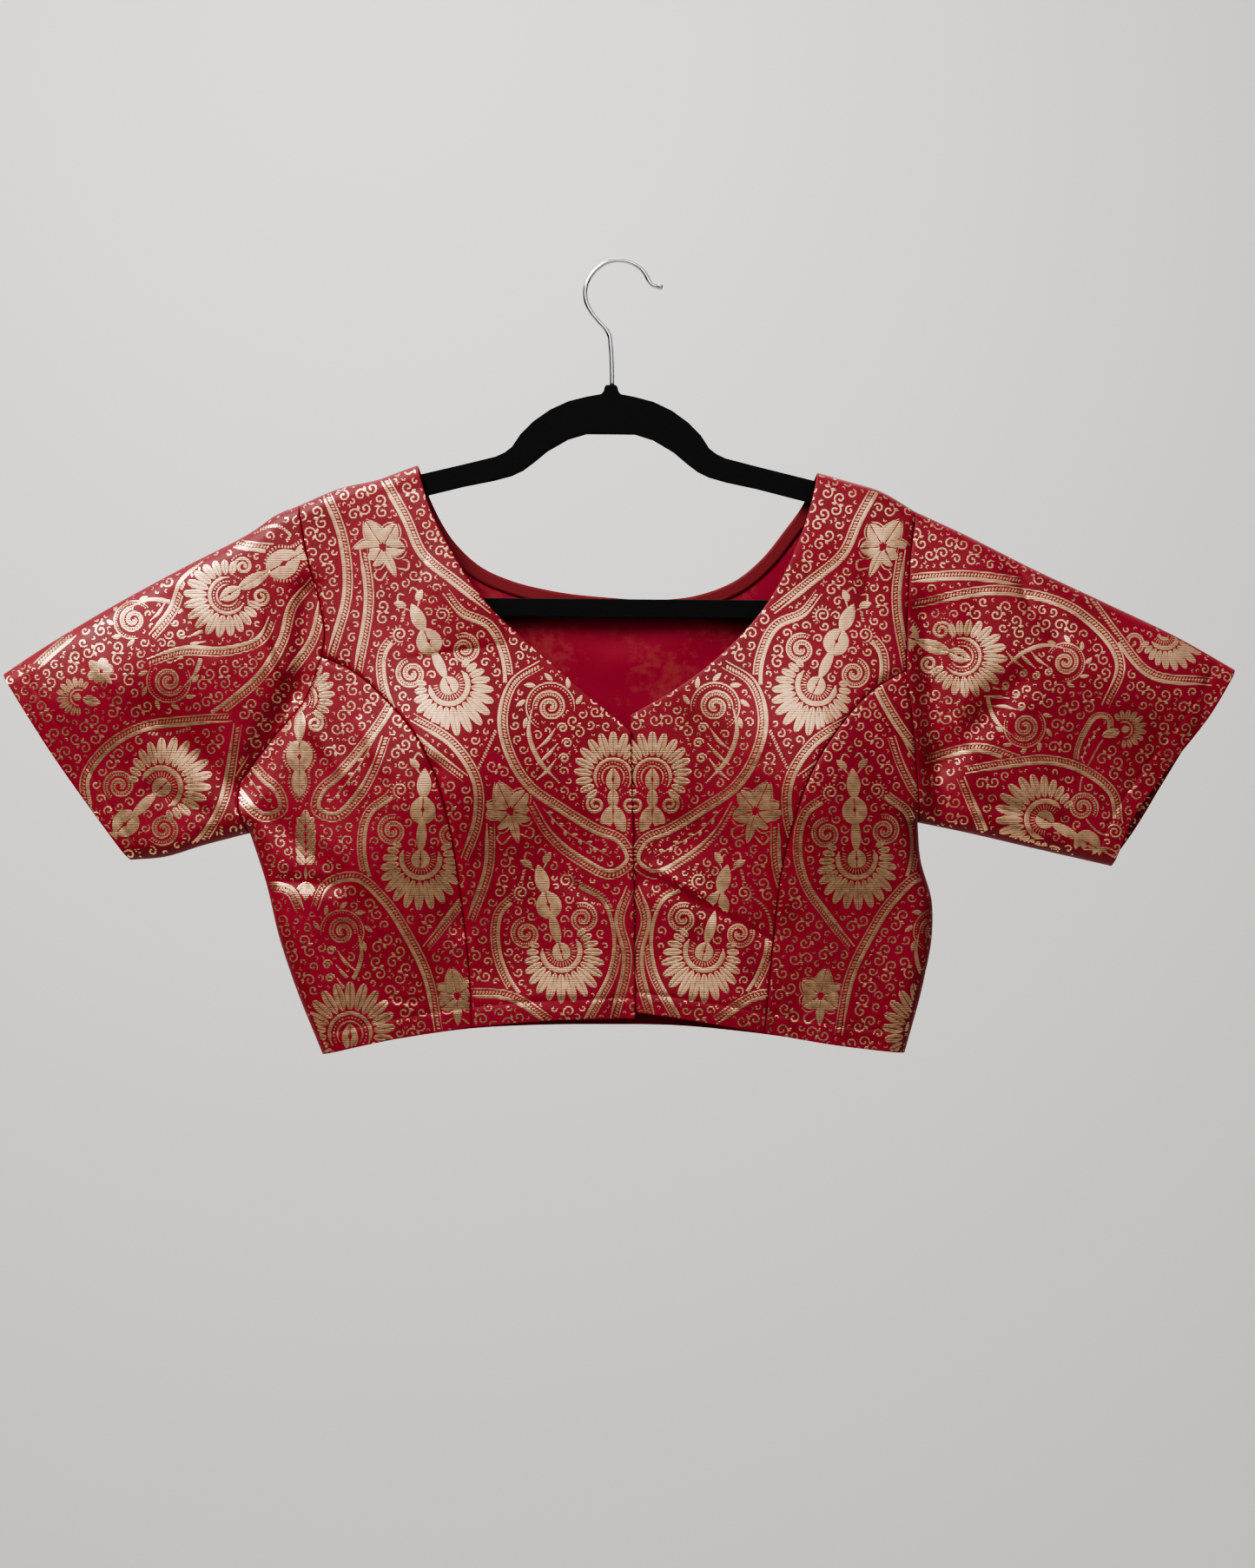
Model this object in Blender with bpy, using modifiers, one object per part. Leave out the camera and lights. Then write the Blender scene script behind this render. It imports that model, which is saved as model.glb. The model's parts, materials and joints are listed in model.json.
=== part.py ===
"""A sari blouse on a slim velvet hanger that hangs by its wire hook.

Metres, +Z up. The origin is the inner top of the hook, and the front faces -Y. The garment hangs flat: each cloth
piece is an open surface with a wall, drawn on the seam lines of the front view, and one depth rule for the front
layer and one for the back layer say how far the cloth stands out from the middle plane. Two pieces that share a
seam read the same line at the same distances, so they meet all along it.
"""

import bmesh
import bpy
import numpy as np

MM = 0.001
SAME_POINT = 0.01 * MM

# Cloth
CLOTH_WALL = 1.2 * MM
FACING_WALL = 1.0 * MM
SEAM_GAP = 0.3 * MM
LAYER_GAP = 0.5 * MM
LAP_STEP = 0.9 * MM
LAP_REACH = 9 * MM
SQUARE_RIM = 0.9 * MM

# Depth of the front and back layers from the middle plane
SHOULDER_DEPTH = 7.0 * MM
FRONT_FILL = 5.5 * MM
BACK_FILL = 2.5 * MM
FILL_TOP, FILL_BOTTOM = -120 * MM, -320 * MM
CUFF_SHARE = 0.72
SLEEVE_START, SLEEVE_REACH = 190 * MM, 200 * MM
EDGE_ROUNDING = 1.1
BUST_DEPTH = 15 * MM
BUST_HALF_WIDTH, BUST_HALF_HEIGHT = 40 * MM, 52 * MM
BUST_POINTS = ((-118 * MM, -345 * MM), (124 * MM, -341 * MM))

# Distances from an end of a seam, where the cloth turns over a fold or meets its neighbour
FOLD_STEPS = (0.8 * MM, 3 * MM, 7 * MM)
SEAM_STEPS = (1.5 * MM,)
CLOTH_PITCH = 17 * MM

# Facing and hook strip
FACING_WIDTH = 9 * MM
FACING_START = 12 * MM
STRIP_LEFT, STRIP_RIGHT = -3 * MM, 18 * MM
STRIP_TOP, STRIP_BOTTOM = -316 * MM, -484 * MM

# Hanger
HANGER_X = -4.8 * MM
HANGER_HALF_THICK = 3.0 * MM
HANGER_TILT = 0.0078
HANGER_EDGE = 0.8 * MM
WIRE_RADIUS = 1.6 * MM
WIRE_PITCH = 4.2 * MM
WIRE_TIP_SWELL = 1.35

# Seam lines of the front view. Columns: x_mm, z_mm
SEAM_LINES = {
    "shoulder_left": ((-211, -160), (-183.5, -148.5), (-157, -142.3), (-143.6, -137.2), (-132.8, -133.4)),
    "shoulder_right": ((195, -164), (170, -149.7), (152, -144.4), (130.5, -138.3)),
    "armhole_left": ((-211, -160), (-204, -197), (-195.5, -229), (-193, -247), (-195, -260)),
    "armhole_right": ((195, -164), (191, -194), (189.2, -228), (188, -269)),
    "lower_armhole_left": ((-195, -260), (-204, -284), (-228.5, -315), (-249.7, -343.5)),
    "lower_armhole_right": ((188, -269), (190.5, -290), (193, -313)),
    "underarm_left": ((-249.7, -343.5), (-249.7, -359), (-243.4, -376)),
    "underarm_right": ((193, -313), (195, -340), (196.6, -369)),
    "side_left": ((-243.4, -376), (-233, -408), (-224, -445), (-213.7, -476), (-195.5, -521.3)),
    "side_right": ((196.6, -369), (198.5, -393), (206, -421), (206.3, -440), (200.6, -473), (188, -520.2)),
    "princess_left": (
        (-195, -260), (-173, -270.5), (-151.6, -289), (-133, -310.5), (-119, -339), (-110, -372.6),
        (-102.6, -423), (-98, -467), (-96.3, -502.5),
    ),
    "princess_right": (
        (188, -269), (166, -282), (145.3, -304), (124, -338), (113.4, -368.6), (106, -400.5),
        (101, -444), (98, -476), (95.2, -506.5),
    ),
    "neck_left": (
        (-132.8, -133.4), (-124.3, -161.7), (-113, -185), (-86.6, -225), (-45.6, -263), (-9.7, -294.5), (8, -309.3),
    ),
    "neck_right": (
        (130.5, -138.3), (126.5, -156), (111.7, -198), (97.5, -224), (74, -251.7), (40.5, -279), (7.2, -298.5),
    ),
    "closure_left": ((8, -309.3), (9.6, -400), (10.3, -496.8)),
    "closure_right": ((7.2, -298.5), (6.6, -330), (7.4, -492.3)),
    "side_hem_left": ((-195.5, -521.3), (-171, -515.6), (-149, -511), (-96.3, -502.5)),
    "side_hem_right": ((188, -520.2), (138, -514), (95.2, -506.5)),
    "centre_hem_left": ((-96.3, -502.5), (-45, -498), (10.3, -496.8)),
    "centre_hem_right": ((95.2, -506.5), (36, -496.2), (7.4, -492.3)),
    "sleeve_top_left": (
        (-211, -160), (-225, -165.6), (-240, -176), (-285.6, -200), (-342, -231), (-387.6, -259), (-405.3, -271),
    ),
    "sleeve_top_right": (
        (195, -164), (225.7, -178.2), (271, -201), (320, -224), (370.5, -248.3), (405.3, -268.2),
    ),
    "sleeve_under_left": ((-243.4, -376), (-274, -384), (-300.4, -391.8), (-321.5, -393.6)),
    "sleeve_under_right": ((196.6, -369), (225.7, -375), (274, -386.2), (323.8, -397.6)),
    "cuff_left": ((-405.3, -271), (-369, -328), (-333, -378.3), (-321.5, -393.6)),
    "cuff_right": ((405.3, -268.2), (388, -297), (357.7, -336), (336.1, -367.5), (323.8, -397.6)),
    "back_cuff_left": ((-405.3, -271), (-369, -328), (-333, -378.3), (-321.5, -393.6)),
    "back_cuff_right": ((405.3, -268.2), (386, -299.6), (356.7, -347.7), (342, -372.2), (323.8, -397.6)),
    "back_armhole_left": ((-211, -160), (-203, -200), (-199, -245), (-208, -295), (-228, -340), (-243.4, -376)),
    "back_armhole_right": ((195, -164), (190, -205), (189, -250), (191, -300), (194, -340), (196.6, -369)),
    "back_neck": (
        (-132.8, -133.4), (-124.3, -157), (-107.7, -185), (-91, -200), (-71, -209), (-45.6, -215.4),
        (-7.4, -220), (27, -221.5), (49.6, -219), (80, -206.7), (94.6, -194), (109, -176), (121, -159.4),
        (130.5, -138.3),
    ),
    "back_hem": (
        (-195.5, -521.3), (-149, -512.8), (-96.3, -505.4), (-60, -503.4), (-7.4, -502.8), (36, -503.4),
        (85.5, -508), (138, -515), (188, -520.2),
    ),
}

# Largest folds of the front layer. Columns: from x_mm, z_mm, to x_mm, z_mm, half width_mm, share of the depth
# there that the fold takes away, or adds where it is negative
FRONT_FOLDS = (
    (-204, -218, -207, -272, 9, 0.36),
    (-213, -285, -246, -346, 10, 0.50),
    (200, -232, 212, -364, 11, 0.50),
    (-121, -336, -104, -436, 8, 0.16),
    (90, -350, 92, -470, 9, 0.12),
    (-238, -204, -368, -285, 30, -0.28),
    (228, -214, 372, -290, 28, -0.28),
    (-233, -362, -184, -404, 8, 0.16),
    (-232, -406, -186, -411, 6, 0.16),
    (258, -204, 286, -246, 7, 0.24),
    (210, -330, 262, -276, 10, 0.24),
    (-258, -338, -304, -300, 12, 0.22),
    (18, -407, 98, -443, 6, 0.08),
)
BACK_FOLDS = (
    (-205, -225, -236, -350, 10, 0.30),
    (199, -230, 204, -350, 11, 0.30),
    (-84, -350, -72, -478, 12, 0.22),
    (80, -348, 70, -480, 12, 0.22),
    (-240, -330, -310, -296, 11, 0.22),
    (212, -326, 282, -282, 11, 0.24),
    (-60, -236, -8, -262, 14, 0.14),
    (58, -238, 12, -262, 14, 0.14),
)

# Half of the hanger's outline, from the top of its neck round the arm's end to the middle of the bar.
# Columns: mm out from the neck's axis, z_mm
HANGER_OUTER = (
    (0, -80.7), (3.2, -80.7), (4.2, -82), (5.0, -85), (6.4, -86.7), (9.1, -87.2), (16, -88.5), (28, -91.6),
    (40, -97.2), (51, -105), (59.5, -113.6), (65, -122), (69.6, -125.6), (75.5, -128.4), (96, -133.6),
    (125, -140.6), (152, -147.1), (179, -153.2), (190, -158.6), (200, -166.6), (209, -176), (217, -189),
    (221.7, -200), (223.2, -213), (220, -225), (212, -231.6), (200.5, -234), (0, -234),
)
HANGER_INNER = (
    (0, -111.1), (16, -113), (28, -116.7), (41.5, -124.6), (50.7, -132.3), (57.5, -137.4), (65, -141), (77, -144.3),
    (96, -148.2), (120, -154.2), (152, -162), (172, -167.5), (190, -176), (200, -186), (205.5, -198), (204, -210),
    (198, -218.5), (188, -221.7), (0, -221.7),
)

# Centre line of the hook's wire from its tip to the neck. Columns: x_mm, z_mm
HOOK_LINE = (
    (28.7, -16.0), (25.1, -15.5), (22.1, -14.6), (19.6, -11.9), (17.6, -8.0), (14.3, -3.8), (9.2, -0.4),
    (2.6, 1.5), (-2.7, 1.6), (-8.6, 0.3), (-13.9, -3.1), (-18.1, -7.4), (-21.4, -13.2), (-22.6, -19.8),
    (-21.7, -25.8), (-18.4, -32.4), (-13.2, -38.8), (-8.5, -44.2), (-6.5, -48.2), (-5.9, -53.0), (-5.0, -67.0),
    (-4.8, -80.4),
)

# Colours. Columns: base colour, roughness, metallic
FINISHES = {
    "cloth_front": ((0.46, 0.03, 0.05), 0.45, 0.0),
    "cloth_side": ((0.40, 0.03, 0.05), 0.45, 0.0),
    "cloth_sleeve": ((0.52, 0.04, 0.07), 0.45, 0.0),
    "cloth_back": ((0.36, 0.02, 0.04), 0.5, 0.0),
    "cloth_facing": ((0.30, 0.02, 0.03), 0.7, 0.0),
    "velvet": ((0.012, 0.012, 0.013), 0.95, 0.0),
    "chrome": ((0.75, 0.76, 0.78), 0.12, 1.0),
}


class SeamLine:
    """A smooth line of the front view through its measured points, read by distance along it."""

    def __init__(self, rows, per_span=24):
        knots = np.array(rows, float) * MM
        spans = np.linalg.norm(np.diff(knots, axis=0), axis=1)[:, None]
        slopes = np.diff(knots, axis=0) / spans
        tangents = np.concatenate([slopes[:1], slopes])
        tangents[1:-1] = (slopes[:-1] * spans[1:] + slopes[1:] * spans[:-1]) / (spans[:-1] + spans[1:])
        t = np.linspace(0, 1, per_span, endpoint=False)[None, :, None]
        start, end = knots[:-1, None], knots[1:, None]
        leave, arrive = (tangents[:-1] * spans)[:, None], (tangents[1:] * spans)[:, None]
        along = (
            (2 * t**3 - 3 * t**2 + 1) * start + (t**3 - 2 * t**2 + t) * leave
            + (3 * t**2 - 2 * t**3) * end + (t**3 - t**2) * arrive
        )
        self.points = np.concatenate([along.reshape(-1, 2), knots[-1:]])
        steps = np.linalg.norm(np.diff(self.points, axis=0), axis=1)
        self.distances = np.concatenate([[0], np.cumsum(steps)])
        self.length = self.distances[-1]

    def at(self, distances):
        """The points (x, z) at these distances from the start."""
        return np.stack([np.interp(distances, self.distances, self.points[:, k]) for k in (0, 1)], axis=-1)


LINES = {name: SeamLine(rows) for name, rows in SEAM_LINES.items()}
# Where the front layer turns over into the back layer
FOLDED_EDGES = [
    LINES[f"{edge}_{side}"]
    for side in ("left", "right")
    for edge in ("shoulder", "sleeve_top", "sleeve_under", "side")
]


def smooth_step(value):
    """0 below 0, 1 above 1, and level at both ends."""
    value = np.clip(value, 0, 1)
    return value * value * (3 - 2 * value)


def distance_to_segments(points, starts, ends):
    """The least distance from each point to a set of straight segments."""
    along = ends - starts
    share = ((points[..., None, :] - starts) * along).sum(-1) / (along * along).sum(-1)
    nearest = starts + np.clip(share, 0, 1)[..., None] * along
    return np.linalg.norm(points[..., None, :] - nearest, axis=-1)


def fold_share(points, folds):
    """What is left of the depth at each point once the folds are taken off, as a share."""
    rows = np.array(folds, float)
    reach = distance_to_segments(points, rows[:, 0:2] * MM, rows[:, 2:4] * MM) / (rows[:, 4] * MM)
    return 1 - (rows[:, 5] * np.exp(-(reach**2))).sum(-1)


def turned_edge(points, depth):
    """The depth as it rounds off to nothing at the folded edges, as a quarter of an ellipse."""
    to_edge = np.min(
        [distance_to_segments(points, line.points[:-1], line.points[1:]).min(-1) for line in FOLDED_EDGES], axis=0
    )
    share = np.clip(to_edge / (EDGE_ROUNDING * depth), 0, 1)
    return depth * np.sqrt(1 - (1 - share) ** 2)


def plain_depth(points, fill):
    """The depth of a layer with no folds: shallow at the shoulders, fuller below, and shallow again at the cuffs."""
    x, z = points[..., 0], points[..., 1]
    body = SHOULDER_DEPTH + fill * smooth_step((FILL_TOP - z) / (FILL_TOP - FILL_BOTTOM))
    return body * (1 - (1 - CUFF_SHARE) * smooth_step((abs(x) - SLEEVE_START) / SLEEVE_REACH))


def front_depth(points):
    """How far the outer face of the front layer stands out from the middle plane."""
    depth = plain_depth(points, FRONT_FILL) * fold_share(points, FRONT_FOLDS)
    for x, z in BUST_POINTS:
        across, up = (points[..., 0] - x) / BUST_HALF_WIDTH, (points[..., 1] - z) / BUST_HALF_HEIGHT
        depth = depth + BUST_DEPTH * np.exp(-0.5 * (across**2 + up**2))
    return turned_edge(points, depth)


def back_depth(points):
    """How far the outer face of the back layer stands out from the middle plane."""
    return turned_edge(points, plain_depth(points, BACK_FILL) * fold_share(points, BACK_FOLDS))


def lap(points):
    """How far the lapping front stands out, and the lapped front sinks in, beside the closure."""
    middle = LINES["closure_left"].points[:, 0].mean()
    return LAP_STEP * np.exp(-(((points[..., 0] - middle) / LAP_REACH) ** 2))


def stations(length, cells, start=(), end=()):
    """Distances along a seam: the given steps at its ends, and even cells between them."""
    low = start[-1] if start else 0
    high = length - (end[-1] if end else 0)
    before = [0, *start[:-1]] if start else []
    after = [length - step for step in reversed(end[:-1])] + [length] if end else []
    return np.array([*before, *np.linspace(low, high, cells + 1), *after])


def read(name, cells, start=(), end=()):
    """The points of a named seam line at its stations."""
    line = LINES[name]
    return line.at(stations(line.length, cells, start, end))


def joined(*runs):
    """Runs of points end to end, each starting where the one before it stops."""
    return np.concatenate([runs[0]] + [run[1:] for run in runs[1:]])


def shares(points):
    """The distance along a run of points, as a share of its whole length."""
    steps = np.linalg.norm(np.diff(points, axis=0), axis=1)
    walked = np.concatenate([[0], np.cumsum(steps)])
    return walked / walked[-1] if walked[-1] else np.linspace(0, 1, len(points))


def fill_between(top, bottom, left, right):
    """The grid of points inside four edges: the sum of the two pairs blended across, less the four corners."""
    down = shares(left)[:, None] * (1 - shares(top)) + shares(right)[:, None] * shares(top)
    across = shares(top)[None] * (1 - down) + shares(bottom)[None] * down
    u, v = across[..., None], down[..., None]
    corners = (1 - u) * (1 - v) * top[0] + u * (1 - v) * top[-1] + (1 - u) * v * bottom[0] + u * v * bottom[-1]
    return (1 - v) * top[None] + v * bottom[None] + (1 - u) * left[:, None] + u * right[:, None] - corners


def set_back(edge, inside, which):
    """Half a seam gap taken off an edge, square to it, where which is true."""
    along = np.gradient(edge, axis=0)
    square = np.stack([-along[:, 1], along[:, 0]], axis=-1)
    square /= np.linalg.norm(square, axis=1, keepdims=True)
    square *= np.sign(((inside - edge) * square).sum())
    return np.where(which[:, None], edge + square * SEAM_GAP / 2, edge)


def side_first(grid, side):
    """The grid turned so that its named side is the first row. Turning it again puts it back."""
    if side == "top":
        return grid
    return grid.swapaxes(0, 1) if side == "left" else grid[::-1, ::-1].swapaxes(0, 1)


def layer(grid, seams, folds, depth):
    """The flat grid as an outer face at its depth. seams and folds mark, for each side, the points that lie on a
    seam and those on a folded edge, where a rim stands square to the middle plane so that the walls don't meet."""
    for side, which in seams.items():
        turned = side_first(grid, side).copy()
        turned[0] = set_back(turned[0], turned[1], which if side != "right" else which[::-1])
        grid = side_first(turned, side)
    out = np.stack([grid[..., 0], depth(grid), grid[..., 1]], axis=-1)
    direction = np.sign(out[..., 1].sum())
    for side, which in folds.items():
        turned = side_first(out, side)
        gained = turned.shape[1] - len(which)
        which = np.concatenate([np.repeat(which[:1], gained), which])
        out = side_first(folded_rim(turned, which if side != "right" else which[::-1], direction), side)
    return out


def folded_rim(out, folded, direction):
    """One more row beside the first: on a folded edge both rows stand on the edge line, one behind the other."""
    first, second = out[0].copy(), out[1]
    extra = first + (second - first) / 2
    extra[folded, 0], extra[folded, 2] = first[folded, 0], first[folded, 2]
    extra[folded, 1] = direction * SQUARE_RIM
    first[folded, 1] = direction * SEAM_GAP / 2
    return np.concatenate([first[None], extra[None], out[1:]])


def surface(name, grid, outward, wall, finish, tube=False):
    """An object whose mesh is the grid, with its faces towards outward and a wall inside them."""
    rows, columns = grid.shape[:2]
    index = np.arange(rows * columns).reshape(rows, columns)
    beside = np.roll(index, -1, axis=1) if tube else index[:, 1:]
    index = index if tube else index[:, :-1]
    faces = np.stack([index[:-1], beside[:-1], beside[1:], index[1:]], axis=-1).reshape(-1, 4)
    points = grid.reshape(-1, 3)
    corners = points[faces]
    normals = np.cross(corners[:, 2] - corners[:, 0], corners[:, 3] - corners[:, 1])
    if (normals * outward(corners.mean(1))).sum() < 0:
        faces = faces[:, ::-1]
    mesh = bpy.data.meshes.new(name)
    mesh.from_pydata(points.tolist(), [], faces.tolist())
    shape = bmesh.new()
    shape.from_mesh(mesh)
    bmesh.ops.remove_doubles(shape, verts=shape.verts, dist=SAME_POINT)
    shape.to_mesh(mesh)
    shape.free()
    mesh.shade_smooth()
    piece = add(name, mesh, finish)
    shell = piece.modifiers.new("wall", "SOLIDIFY")
    shell.thickness = wall
    shell.offset = -1
    return piece


def moved_in(grid, depth, distance):
    """The outer face over a flat grid, moved in square to itself. The depth is negative on the front layer."""
    step = 0.5 * MM
    slopes = [(depth(grid + offset) - depth(grid - offset)) / (2 * step) for offset in np.eye(2) * step]
    sense = np.sign(depth(grid).sum())
    normal = sense * np.stack([-slopes[0], np.ones(grid.shape[:-1]), -slopes[1]], axis=-1)
    normal /= np.linalg.norm(normal, axis=-1, keepdims=True)
    return np.stack([grid[..., 0], depth(grid), grid[..., 1]], axis=-1) - distance * normal


def towards_front(centres):
    """Outward for a front piece."""
    return np.broadcast_to((0, -1, 0), centres.shape)


def towards_back(centres):
    """Outward for a back piece."""
    return np.broadcast_to((0, 1, 0), centres.shape)


def add(name, data, finish):
    """A named object in the blouse's collection, with a material of its own."""
    piece = bpy.data.objects.new(name, data)
    bpy.data.collections[COLLECTION].objects.link(piece)
    colour, roughness, metallic = FINISHES[finish]
    material = bpy.data.materials.new(name)
    material.use_nodes = True
    shader = material.node_tree.nodes["Principled BSDF"]
    shader.inputs["Base Color"].default_value = (*colour, 1)
    shader.inputs["Roughness"].default_value = roughness
    shader.inputs["Metallic"].default_value = metallic
    data.materials.append(material)
    return piece


def cells(length, pitch=CLOTH_PITCH):
    """How many even cells a length takes."""
    return max(2, round(length / pitch))


def front_edges(side):
    """The seams of one side of the front, each read once so that both pieces beside it use the same points."""
    upper = read(f"armhole_{side}", cells(LINES[f"armhole_{side}"].length), FOLD_STEPS)
    lower = read(f"lower_armhole_{side}", cells(LINES[f"lower_armhole_{side}"].length), SEAM_STEPS)
    under = read(f"underarm_{side}", cells(LINES[f"underarm_{side}"].length), (), FOLD_STEPS)
    side_seam = read(f"side_{side}", SIDE_CELLS)
    outer_steps = len(lower) + len(under) + len(side_seam) - 3
    princess = read(f"princess_{side}", outer_steps - len(SEAM_STEPS), SEAM_STEPS)
    shoulder = read(f"shoulder_{side}", SHOULDER_CELLS, SEAM_STEPS)
    return upper, lower, under, side_seam, princess, shoulder


def centre_front(side):
    """The piece from the shoulder to the hem, between the armhole and princess seams and the neck and closure."""
    upper, _, _, _, princess, shoulder = front_edges(side)
    armhole_side = joined(upper, princess)
    neck, closure = LINES[f"neck_{side}"], LINES[f"closure_{side}"]
    even = len(armhole_side) - 1 - len(FOLD_STEPS)
    neck_cells = round(even * neck.length / (neck.length + closure.length))
    free_side = joined(
        neck.at(stations(neck.length, neck_cells, FOLD_STEPS)), closure.at(stations(closure.length, even - neck_cells))
    )
    hem = read(f"centre_hem_{side}", SHOULDER_CELLS, SEAM_STEPS)
    grid = fill_between(shoulder, hem, armhole_side, free_side)
    step = 1 if side == "left" else -1
    out = layer(
        grid,
        {"left": np.ones(len(grid), bool)},
        {"top": np.ones(grid.shape[1], bool)},
        lambda points: -(front_depth(points) + step * lap(points)),
    )
    surface(f"centre_front_{side}", out, towards_front, CLOTH_WALL, "cloth_front")


def side_front(side):
    """The piece under the arm, a point at the armhole that widens down to the hem between side and princess seams."""
    _, lower, under, side_seam, princess, _ = front_edges(side)
    outer_side = joined(lower, under, side_seam)
    hem = read(f"side_hem_{side}", SHOULDER_CELLS, FOLD_STEPS, SEAM_STEPS)
    point = np.repeat(outer_side[:1], len(hem), axis=0)
    grid = fill_between(point, hem, outer_side, princess)
    on_side_seam = np.arange(len(grid)) >= len(grid) - len(side_seam)
    out = layer(
        grid,
        {"left": ~on_side_seam, "right": np.ones(len(grid), bool)},
        {"left": on_side_seam},
        lambda points: -front_depth(points),
    )
    out[0] = out[0, 0] + out[0, -1] - out[0, 2]
    surface(f"side_front_{side}", out, towards_front, CLOTH_WALL, "cloth_side")


def back_armhole(side):
    """The back half of an armhole, from the shoulder to the underarm."""
    return read(f"back_armhole_{side}", BACK_ARMHOLE_CELLS, FOLD_STEPS, FOLD_STEPS)


def back():
    """The back in one piece, from both shoulders and the scooped neck to the hem."""
    shoulders = {side: read(f"shoulder_{side}", SHOULDER_CELLS, SEAM_STEPS) for side in ("left", "right")}
    neck = read("back_neck", NECK_CELLS, FOLD_STEPS, FOLD_STEPS)
    top = joined(shoulders["left"], neck, shoulders["right"][::-1])
    hem_line = LINES["back_hem"]
    hem = hem_line.at(stations(hem_line.length, len(top) - 1 - 2 * len(FOLD_STEPS), FOLD_STEPS, FOLD_STEPS))
    left, right = (joined(back_armhole(side), read(f"side_{side}", SIDE_CELLS)) for side in ("left", "right"))
    grid = fill_between(top, hem, left, right)
    on_side_seam = np.arange(len(grid)) >= len(left) - 1 - SIDE_CELLS
    column = np.arange(grid.shape[1])
    on_shoulder = (column < len(shoulders["left"])) | (column > len(top) - 1 - len(shoulders["right"]))
    out = layer(
        grid,
        {"left": ~on_side_seam, "right": ~on_side_seam},
        {"top": on_shoulder, "left": on_side_seam, "right": on_side_seam},
        back_depth,
    )
    surface("back", out, towards_back, CLOTH_WALL, "cloth_back")


def sleeve(side):
    """A sleeve as a flattened tube: its front half and its back half run from the fold on top to the underarm."""
    upper, lower, under, _, _, _ = front_edges(side)
    front_armhole, rear_armhole = joined(upper, lower, under), back_armhole(side)
    top, bottom = (read(f"{edge}_{side}", SLEEVE_CELLS, SEAM_STEPS) for edge in ("sleeve_top", "sleeve_under"))
    halves = []
    for armhole, cuff_name, depth, direction in (
        (front_armhole, f"cuff_{side}", front_depth, -1),
        (rear_armhole, f"back_cuff_{side}", back_depth, 1),
    ):
        cuff = LINES[cuff_name]
        ends = FOLD_STEPS[-1]
        walked = shares(armhole)
        whole = np.linalg.norm(np.diff(armhole, axis=0), axis=1).sum()
        reach = np.interp(walked * whole, [0, ends, whole - ends, whole], [0, ends, cuff.length - ends, cuff.length])
        grid = fill_between(armhole, cuff.at(reach), top, bottom)
        grid[0] = set_back(grid[0], grid[1], np.ones(grid.shape[1], bool))
        half = np.stack([grid[..., 0], direction * depth(grid), grid[..., 1]], axis=-1)
        half[:, [0, -1], 1] = 0
        halves.append(half)
    loop = np.concatenate([halves[0], halves[1][:, -2:0:-1]], axis=1)
    surface(f"sleeve_{side}", loop, lambda c: (c - c.mean(0)) * (0, 1, 0), CLOTH_WALL, "cloth_sleeve", tube=True)


def back_neck_facing():
    """The band inside the back neck: the back's own points beside the neckline, moved in by its wall and a gap."""
    neck = LINES["back_neck"]
    walked = stations(neck.length - 2 * FACING_START, FACING_CELLS) + FACING_START
    edge = neck.at(walked)
    along = np.gradient(edge, axis=0)
    inwards = np.stack([along[:, 1], -along[:, 0]], axis=-1)
    inwards /= np.linalg.norm(inwards, axis=1, keepdims=True)
    grid = edge[None] + np.linspace(0, FACING_WIDTH, 4)[:, None, None] * inwards[None]
    out = moved_in(grid, back_depth, CLOTH_WALL + LAYER_GAP)
    surface("back_neck_facing", out, towards_back, FACING_WALL, "cloth_facing")


def hook_strip():
    """The strip under the closure that the hooks catch, moved in from the lapped front's points."""
    x = np.linspace(STRIP_LEFT, STRIP_RIGHT, 5)
    z = np.linspace(STRIP_TOP, STRIP_BOTTOM, 1 + cells(STRIP_TOP - STRIP_BOTTOM))
    grid = np.stack(np.meshgrid(x, z), axis=-1)
    out = moved_in(grid, lambda points: -front_depth(points), LAP_STEP + CLOTH_WALL + LAYER_GAP)
    surface("hook_strip", out, towards_front, FACING_WALL, "cloth_facing")


def hanger_body():
    """The flat velvet-covered body: an arch with a short neck, two arms and a bar, cut as one outline with a hole."""
    curve = bpy.data.curves.new("hanger_body", "CURVE")
    curve.dimensions = "2D"
    curve.fill_mode = "BOTH"
    curve.bevel_depth = HANGER_EDGE
    curve.bevel_resolution = 1
    curve.offset = -HANGER_EDGE
    curve.extrude = HANGER_HALF_THICK - HANGER_EDGE
    for half in (HANGER_OUTER, HANGER_INNER):
        right = np.array(half[1:-1], float) * MM
        outline = np.concatenate([right, right[::-1] * (-1, 1)])
        spline = curve.splines.new("POLY")
        spline.points.add(len(outline) - 1)
        spline.points.foreach_set("co", np.insert(outline, [2, 2], (0, 1), axis=1).ravel())
        spline.use_cyclic_u = True
    piece = add("hanger_body", curve, "velvet")
    piece.location = (HANGER_X, 0, 0)
    piece.rotation_euler = (np.pi / 2, HANGER_TILT, 0)


def hanger_hook():
    """The bright wire from its swollen tip over the top of the hook and down to the neck."""
    line = SeamLine(HOOK_LINE)
    points = line.at(stations(line.length, cells(line.length, WIRE_PITCH)))
    curve = bpy.data.curves.new("hanger_hook", "CURVE")
    curve.dimensions = "3D"
    curve.bevel_depth = WIRE_RADIUS
    curve.bevel_resolution = 2
    curve.use_fill_caps = True
    spline = curve.splines.new("POLY")
    spline.points.add(len(points) - 1)
    for point, (x, z) in zip(spline.points, points):
        point.co = (x, 0, z, 1)
    for point in spline.points[:2]:
        point.radius = WIRE_TIP_SWELL
    add("hanger_hook", curve, "chrome")


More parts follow.
